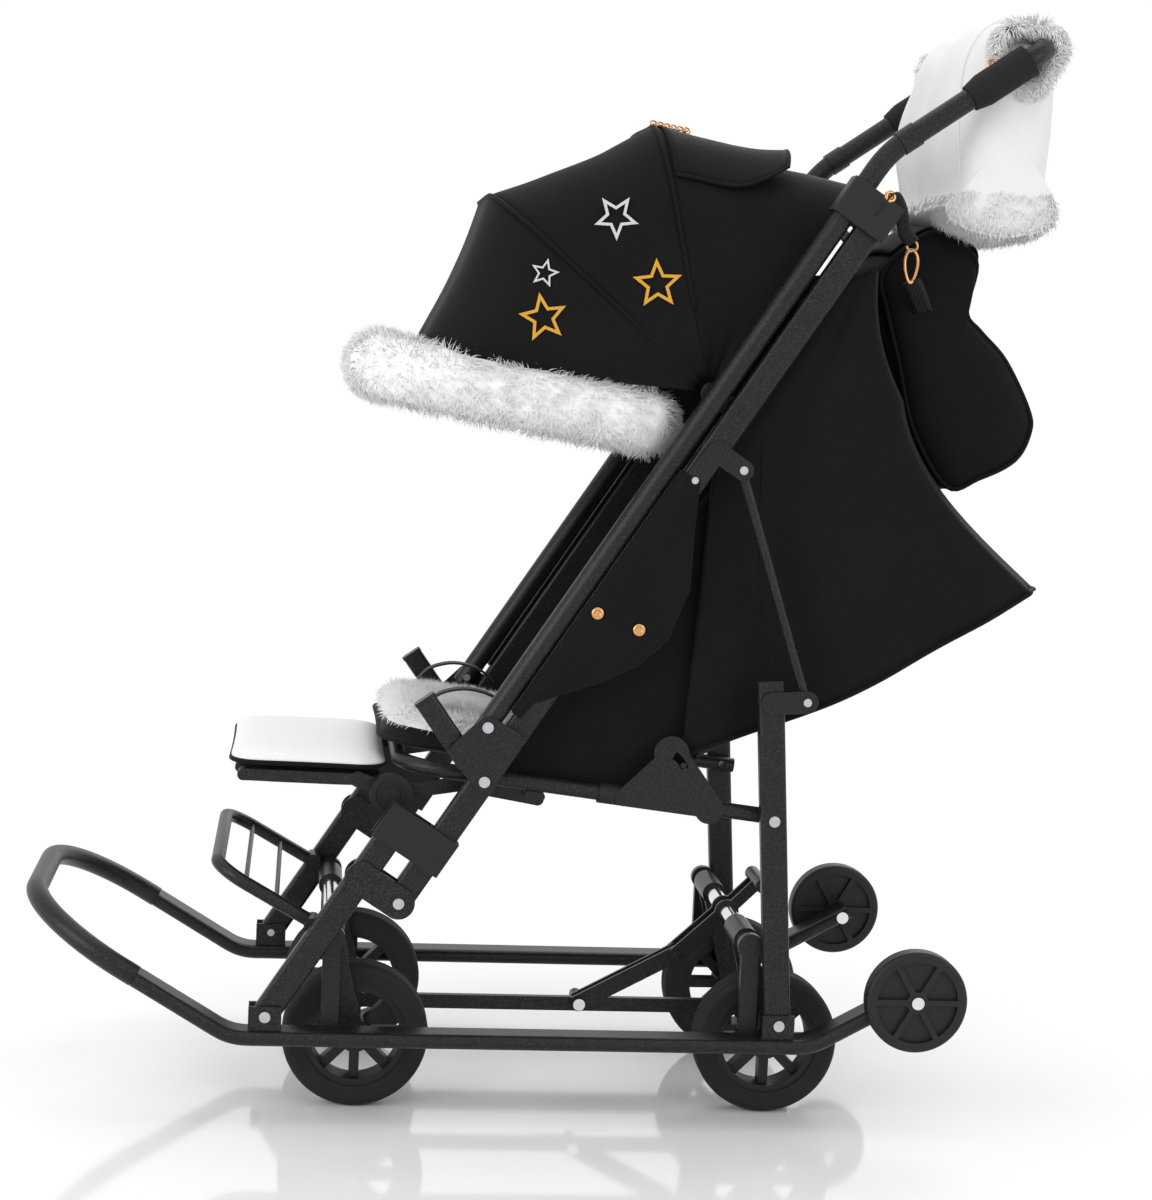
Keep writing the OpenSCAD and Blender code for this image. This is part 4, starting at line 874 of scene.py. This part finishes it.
def cape_point(u, v, lift=0.0):
    """A point of the cape: from the left front edge round the back to the right, and from the top down"""
    v = 0.04 + 0.96 * v
    if v < SEAM_AT:
        front = mix(CAPE_TOP, CAPE_SEAM, v / SEAM_AT)
    else:
        front = mix(CAPE_SEAM, CAPE_FOOT, (v - SEAM_AT) / (1 - SEAM_AT))
    rear = cape_rear(v)
    if CAPE_BEND <= u <= 1 - CAPE_BEND:
        s, side = 1.0, (u - 0.5) / (0.5 - CAPE_BEND)
    else:
        s, side = (u if u < CAPE_BEND else 1 - u) / CAPE_BEND, (-1.0 if u < CAPE_BEND else 1.0)
    p = mix(front, rear, s)
    sag = 0.020 * math.sin(math.pi * s) * max(0, (v - 0.6) / 0.4) ** 2
    fold = 0.5 + 0.5 * math.sin(2 * math.pi * (2.1 * s + 0.6 * v) + 0.8)
    dent = 0.016 * v ** 1.4 * fold * math.sin(math.pi * min(1, s)) ** 0.5
    dent += 0.004 * v * noise.noise(Vector((s * 5, v * 6, 3.0 + side)))
    round_back = 0.017 * (1 - abs(side) ** 3) if s == 1.0 else 0.0
    crease = 0.006 * v * math.sin(5 * math.pi * side) * (1 - abs(side) ** 4) if s == 1.0 else 0.0
    y = side * (CAPE_HALF - max(0, dent) + lift)
    return Vector((p[0] + round_back + crease + (lift if s == 1.0 else 0), y, p[1] - sag))


folded(sheet("cape_cloth", 120, 48, cape_point, "main_frame",
             ("rear_cape",), 2))
folded(sewn("cape_hem", [cape_point(i / 120, 1.0, 0.0005) for i in range(121)], 0.0022, "main_frame"))
for share, tag in ((0.10, "left"), (0.90, "right")):
    seam = [cape_point(share, 0.42 + 0.58 * i / 40, 0.0006) for i in range(41)]
    folded(sewn(f"cape_seam_{tag}", seam, 0.0014, "main_frame"))

# Bag: a lofted shell with a narrow neck that sags to its foot
BAG_FROM = cape_rear(0.06)
BAG_LINE = [(0.0, 0.0), (0.030, 0.034), (0.055, 0.046), (0.086, 0.036), (0.104, 0.014),
            (0.096, -0.036), (0.112, -0.058), (0.142, -0.088), (0.170, -0.138), (0.174, -0.164),
            (0.159, -0.194), (0.120, -0.216), (0.085, -0.225), (0.044, -0.164), (0.023, -0.090),
            (0.008, -0.040)]
BAG_LINE = [(BAG_FROM[0] + 0.0206 + x, BAG_FROM[1] + 0.006 + z) for x, z in BAG_LINE]
BAG_MID = tuple(sum(p[k] for p in BAG_LINE) / len(BAG_LINE) for k in (0, 1))
BAG_HALF = 0.085
SHELL_FACE, SHELL_FLAT = 0.72, 0.86


def shell_point(line, middle, half, share, across, lift=0.0, slack=0.0025):
    """A point of a soft shell: share round the outline, across from -1 to 1"""
    k = abs(across)
    wall = k < SHELL_FACE
    if wall:
        y, scale = half * k / SHELL_FACE * SHELL_FLAT, 1.0 - 0.03 * (k / SHELL_FACE) ** 2
    else:
        a = (k - SHELL_FACE) / (1 - SHELL_FACE)
        y = half * (SHELL_FLAT + (1 - SHELL_FLAT) * math.sin(math.pi / 2 * min(1, a * 1.6)))
        scale = 0.97 * (1 - a ** 1.7)
    p = smooth_loop(line, share)
    d = Vector((p[0] - middle[0], p[1] - middle[1]))
    crumple = slack * noise.noise(Vector((share * 9, across * 3, 5.0))) * min(1, d.length / 0.05)
    d = d * scale + d.normalized() * (crumple + lift * (1 if wall else 0.4))
    return Vector((middle[0] + d.x, math.copysign(y + (0 if wall else lift), across), middle[1] + d.y))


bag = ball("bag_shell", 96, 48, lambda u, v: shell_point(BAG_LINE, BAG_MID, BAG_HALF, u, 1 - 2 * v))
clean(bag)
modify(bag, "SUBSURF", levels=1, render_levels=1)
folded(dress(bag, cloth, "main_frame", hides=("rear_bag",)))
for side, tag in SIDES:
    line = [shell_point(BAG_LINE, BAG_MID, BAG_HALF, i / 96, side * 0.735, 0.0008) for i in range(96)]
    folded(sewn(f"bag_welt_{tag}", line, 0.0024, "main_frame", closed=True))


def bag_flap_point(u, v):
    """A point of the bag's flap, narrower and standing away towards its edge"""
    wide = 0.70 - 0.10 * max(0, (u - 0.7) / 0.3) ** 2
    lift = 0.004 + 0.012 * u ** 4
    return shell_point(BAG_LINE, BAG_MID, BAG_HALF, 0.03 + 0.27 * u, wide * (2 * v - 1), lift)


folded(sheet("bag_flap", 40, 30, bag_flap_point, "main_frame"))
rim = [bag_flap_point(1, i / 30) for i in range(31)]
folded(sewn("bag_flap_hem", rim, 0.0019, "main_frame"))


# Straps: from the tops of the main tubes to the bag, each with a snap and a brass carabiner,
# round the seat rails, and standing up as loops from the seat
def band(name, line, width_dir, width, body):
    """A flat webbing strap along points"""
    across = Vector(width_dir).normalized() * width
    last = len(line) - 1
    piece = grid(name, 4, last, lambda u, v: line[min(last, round(v * last))] + across * (u - 0.5))
    modify(piece, "SOLIDIFY", thickness=WEB_THICK, offset=0)
    clean(piece)
    dress(piece, webbing, body)
    return piece


def soft_line(marks, n):
    """Points on the smooth open line through marks"""
    out = []
    for i in range(n + 1):
        k = min(len(marks) - 1.001, i / n * (len(marks) - 1))
        j = int(k)
        near = (Vector(marks[max(0, min(len(marks) - 1, j + m))]) for m in (-1, 0, 1, 2))
        out.append(curve(*near, k - j))
    return out


def ring_points(p, y, slope, radius):
    """Points round a tube at a place, in the plane across the tube"""
    a = math.radians(slope)
    off = Vector((math.sin(a), 0, -math.cos(a)))
    out = []
    for i in range(41):
        t = 2 * math.pi * i / 40
        out.append(Vector((p[0], y, p[1])) + radius * (off * math.cos(t) + Vector((0, 1, 0)) * math.sin(t)))
    return out


rail = math.radians(RAIL_ANGLE)
for side, tag in SIDES:
    hook = Vector((0.358, side * 0.118, 0.884))
    marks = [(0.297, side * 0.1915, 0.926), (0.316, side * 0.1900, 0.949), (0.331, side * 0.172, 0.940),
             (0.345, side * 0.140, 0.918), hook + Vector((0, side * 0.003, 0.024))]
    folded(band(f"bag_strap_{tag}", soft_line(marks, 28), (0.55, side * 0.5, 0.45), 0.016,
                "main_frame"))
    snap_at = Vector((0.316, side * 0.1925, 0.949))
    folded(snap_on(f"strap_snap_{tag}", snap_at, (0.25, side, 0.2), "main_frame"))
    ring = []
    for i in range(48):
        a = 2 * math.pi * i / 48
        wide = 0.0065 * math.cos(a) * (1 + 0.2 * math.sin(a))
        ring.append(hook + Vector((wide, side * 0.001 * math.sin(2 * a), 0.0165 * math.sin(a))))
    folded(dress(cord(f"carabiner_{tag}", ring, 0.0019, closed=True), brass, "main_frame"))
    eye = []
    for i in range(24):
        a = math.pi * i / 12
        eye.append(hook + Vector((0.0055 * math.cos(a), 0, 0.0210 + 0.0055 * math.sin(a))))
    folded(dress(cord(f"swivel_{tag}", eye, 0.0015, closed=True), brass, "main_frame"))
    tab = soft_line([hook + Vector((0.001, 0, -0.015)), hook + Vector((0.010, -side * 0.012, -0.026)),
                     hook + Vector((0.024, -side * 0.034, -0.046))], 12)
    folded(band(f"bag_tab_{tag}", tab, (0.8, side * 0.3, 0.3), 0.020, "main_frame"))
    loop_at = along(SEAT_PIVOT, RAIL_ANGLE, 0.132)
    band(f"rail_loop_{tag}", ring_points(loop_at, side * 0.160, RAIL_ANGLE, 0.0096),
         (math.cos(rail), 0, math.sin(rail)), 0.026, "seat")
    arc = soft_line([(-0.119, side * 0.100, 0.413), (-0.105, side * 0.101, 0.427),
                     (-0.079, side * 0.102, 0.433), (-0.052, side * 0.101, 0.427),
                     (-0.034, side * 0.100, 0.412)], 24)
    band(f"seat_strap_{tag}", arc, (0, 1, 0), 0.018, "seat")

# Muff: white cloth hung over the cross bar, with fur round the openings and along its foot
MUFF_LINE = [(-0.054, 0.019), (-0.032, 0.035), (-0.005, 0.033), (0.017, 0.015), (0.023, -0.018),
             (0.015, -0.138), (0.031, -0.158), (0.021, -0.178), (-0.027, -0.189), (-0.073, -0.177),
             (-0.084, -0.161), (-0.073, -0.141), (-0.078, -0.083), (-0.069, -0.018)]
MUFF_LINE = [(BAR[0] + x, BAR[1] + z) for x, z in MUFF_LINE]
MUFF_MID = (BAR[0] - 0.027, BAR[1] - 0.080)
MUFF_HALF = 0.158
MUFF_FOOT_HAIRS, MUFF_CUFF_HAIRS = 9000, 7000


def muff_point(share, across, lift=0.0):
    """A point of the muff, with slack folds that run down from the openings"""
    p = shell_point(MUFF_LINE, MUFF_MID, MUFF_HALF, share, across, lift, 0.005)
    high = max(0, min(1, (p.z - BAR[1] + 0.14) / 0.14))
    p.x += 0.006 * high * math.sin(9 * p.y / MUFF_HALF + 30 * (p.z - BAR[1]))
    if abs(across) > 0.6:
        p.y -= math.copysign(0.007 * high * (0.5 + 0.5 * math.sin(95 * (p.x - BAR[0]) + 20 * p.z)), p.y)
    return p


muff = ball("muff_cover", 112, 56, lambda u, v: muff_point(u, 1 - 2 * v))
clean(muff)
modify(muff, "SUBSURF", levels=1, render_levels=1)
dress(muff, muff_cloth, "handle", hides=("hand_muff",))
for side, tag in SIDES:
    line = [muff_point(i / 96, side * 0.70, 0.0006) for i in range(96)]
    dress(cord(f"muff_welt_{tag}", line, 0.0018, closed=True), muff_cloth, "handle")
    low = Vector((BAR[0] - 0.062, side * 0.1500, BAR[1] - 0.046))
    high = Vector((BAR[0] - 0.050, side * 0.1560, BAR[1] - 0.018))
    snap_on(f"muff_snap_0_{tag}", low, (-0.5, side, 0), "handle")
    snap_on(f"muff_snap_1_{tag}", high, (-0.3, side, 0.2), "handle")
rng = random.Random(21)
roots = []
for _ in range(MUFF_FOOT_HAIRS):
    across = rng.uniform(-0.99, 0.99)
    share = rng.uniform(0.36, 0.84)
    p = muff_point(share, across)
    if p.z > BAR[1] - 0.142:
        continue
    q = muff_point(share, across, 0.01)
    if (q - p).length > 1e-6:
        out = (q - p).normalized()
    else:
        out = Vector((0, math.copysign(1, across), 0))
    roots.append((p, out, combed(p, out, Vector((0, 1, 0)), 9.0)))
for _ in range(MUFF_CUFF_HAIRS):
    side = rng.choice((-1, 1))
    turn = rng.uniform(0, 2 * math.pi)
    small = rng.uniform(0, 2 * math.pi)
    way = Vector((math.cos(turn), 0, math.sin(turn)))
    out = way * math.cos(small) + Vector((0, 1, 0)) * math.sin(small)
    cuff = Vector((BAR[0] - 0.014, side * 0.156, BAR[1] - 0.006))
    p = cuff + way * (0.029 + 0.004 * math.sin(3 * turn)) + out * 0.007
    roots.append((p, out, combed(p, out, Vector((0, 1, 0)).cross(way), 3.0)))
muff_fur = fur("muff_fur", roots, 0.013, 9)
dress(muff_fur, fur_white, "handle")


# Small brass chain at the front of the hood flap
LINKS = 11


def chain_point(k):
    """The middle of a link, counted from the front"""
    return hood_point(101.0 - 0.8 * k, 0.46 + 0.004 * k, 0.011 + 0.0008 * k)


only(None)
bpy.ops.mesh.primitive_torus_add(major_radius=0.0034, minor_radius=0.0009, major_segments=20,
                                 minor_segments=8)
link = bpy.context.object
bpy.ops.object.mode_set(mode="EDIT")
bpy.ops.mesh.select_all(action="SELECT")
bpy.ops.transform.resize(value=(1.45, 1, 1))
bpy.ops.object.mode_set(mode="OBJECT")
link_mesh = link.data.copy()
bpy.data.objects.remove(link)
for k in range(LINKS):
    p = chain_point(k)
    run = (chain_point(k + 1) - p).normalized()
    turn = Vector((1, 0, 0)).rotation_difference(run).to_matrix().to_4x4()
    mesh = link_mesh.copy()
    roll = Matrix.Rotation(math.radians(20 if k % 2 else 75), 4, "X")
    mesh.transform(Matrix.Translation(p) @ turn @ roll)
    mesh.name = f"chain_link_{k}"
    piece = bpy.data.objects.new(mesh.name, mesh)
    bpy.context.collection.objects.link(piece)
    dress(piece, brass, "main_frame")

# Studio: a pale glossy floor that fades into a white backdrop, lit by large soft lamps
only(None)
bpy.ops.mesh.primitive_plane_add(size=14, location=(0, 0, -0.0005))
floor = bpy.context.object
floor.name = "studio_floor"
paint = Finish("pale studio floor", Roughness=0.07, Specular_IOR_Level=0.5)
paint.wire(Base_Color=paint.tones(paint.clouds(3.0, 3.0), "#f7f7f7", "#fdfdfd"))
far = paint.add("ShaderNodeVectorMath", {0: paint.place}, operation="LENGTH")
fade = paint.add("ShaderNodeMapRange", {"Value": far.outputs["Value"], "From Min": 0.62, "From Max": 1.15},
                 interpolation_type="SMOOTHSTEP")
clear = paint.add("ShaderNodeBsdfTransparent")
mixed = paint.add("ShaderNodeMixShader",
                  {0: fade.outputs[0], 1: paint.shader.outputs[0], 2: clear.outputs[0]})
paint.tree.links.new(mixed.outputs[0], paint.tree.nodes["Material Output"].inputs["Surface"])
floor.data.materials.append(paint.material)

# White backdrop where the camera sees it, straight, mirrored or through things, and softer as a light
world = bpy.data.worlds.new("studio")
bpy.context.scene.world = world
world.use_nodes = True
tree = world.node_tree
tree.nodes["Background"].inputs["Color"].default_value = (1, 1, 1, 1)
seen = add(tree, "ShaderNodeLightPath")
mirrored = add(tree, "ShaderNodeMath",
               {0: seen.outputs["Is Glossy Ray"], 1: seen.outputs["Is Transmission Ray"]},
               operation="MAXIMUM")
plain = add(tree, "ShaderNodeMath", {0: seen.outputs["Is Camera Ray"], 1: mirrored.outputs[0]},
            operation="MAXIMUM")
glow = add(tree, "ShaderNodeMapRange", {"Value": plain.outputs[0], "To Min": 0.8, "To Max": 1.0})
tree.links.new(glow.outputs[0], tree.nodes["Background"].inputs["Strength"])

# Lamps: name, place, aim, size and power
for name, spot, aim, size, power in (
        ("key", (-2.3, -2.2, 1.7), (0, 0, 0.5), 1.8, 31),
        ("fill", (2.3, -2.0, 1.5), (0.1, 0, 0.5), 1.6, 14),
        ("top", (0.1, 0.3, 3.2), (0, 0, 0.4), 2.2, 14),
        ("front", (-2.4, -1.0, 0.75), (-0.1, 0, 0.4), 1.4, 9),
        ("back", (1.4, 2.4, 2.2), (0.1, 0, 0.6), 1.6, 24)):
    lamp = bpy.data.lights.new(name, "AREA")
    lamp.size = size
    lamp.energy = power
    holder = bpy.data.objects.new(name, lamp)
    bpy.context.collection.objects.link(holder)
    holder.location = spot
    holder.rotation_euler = (Vector(aim) - Vector(spot)).to_track_quat("-Z", "Y").to_euler()

# Camera fitted to the photo: its place, the way it looks and its right hand
eye = bpy.data.cameras.new("camera")
eye.lens = 77.78
eye.sensor_width = 36
camera = bpy.data.objects.new("camera", eye)
bpy.context.collection.objects.link(camera)
ahead = Vector((0.103485, 0.989370, -0.102236)).normalized()
right = Vector((0.994184, -0.099294, 0.045102))
right = (right - ahead * right.dot(ahead)).normalized()
up = right.cross(ahead)
turn = Matrix((right, up, -ahead)).transposed().to_4x4()
camera.matrix_world = Matrix.Translation((-0.24424, -2.73991, 0.80090)) @ turn
bpy.context.scene.camera = camera
bpy.context.scene.view_settings.view_transform = "Standard"
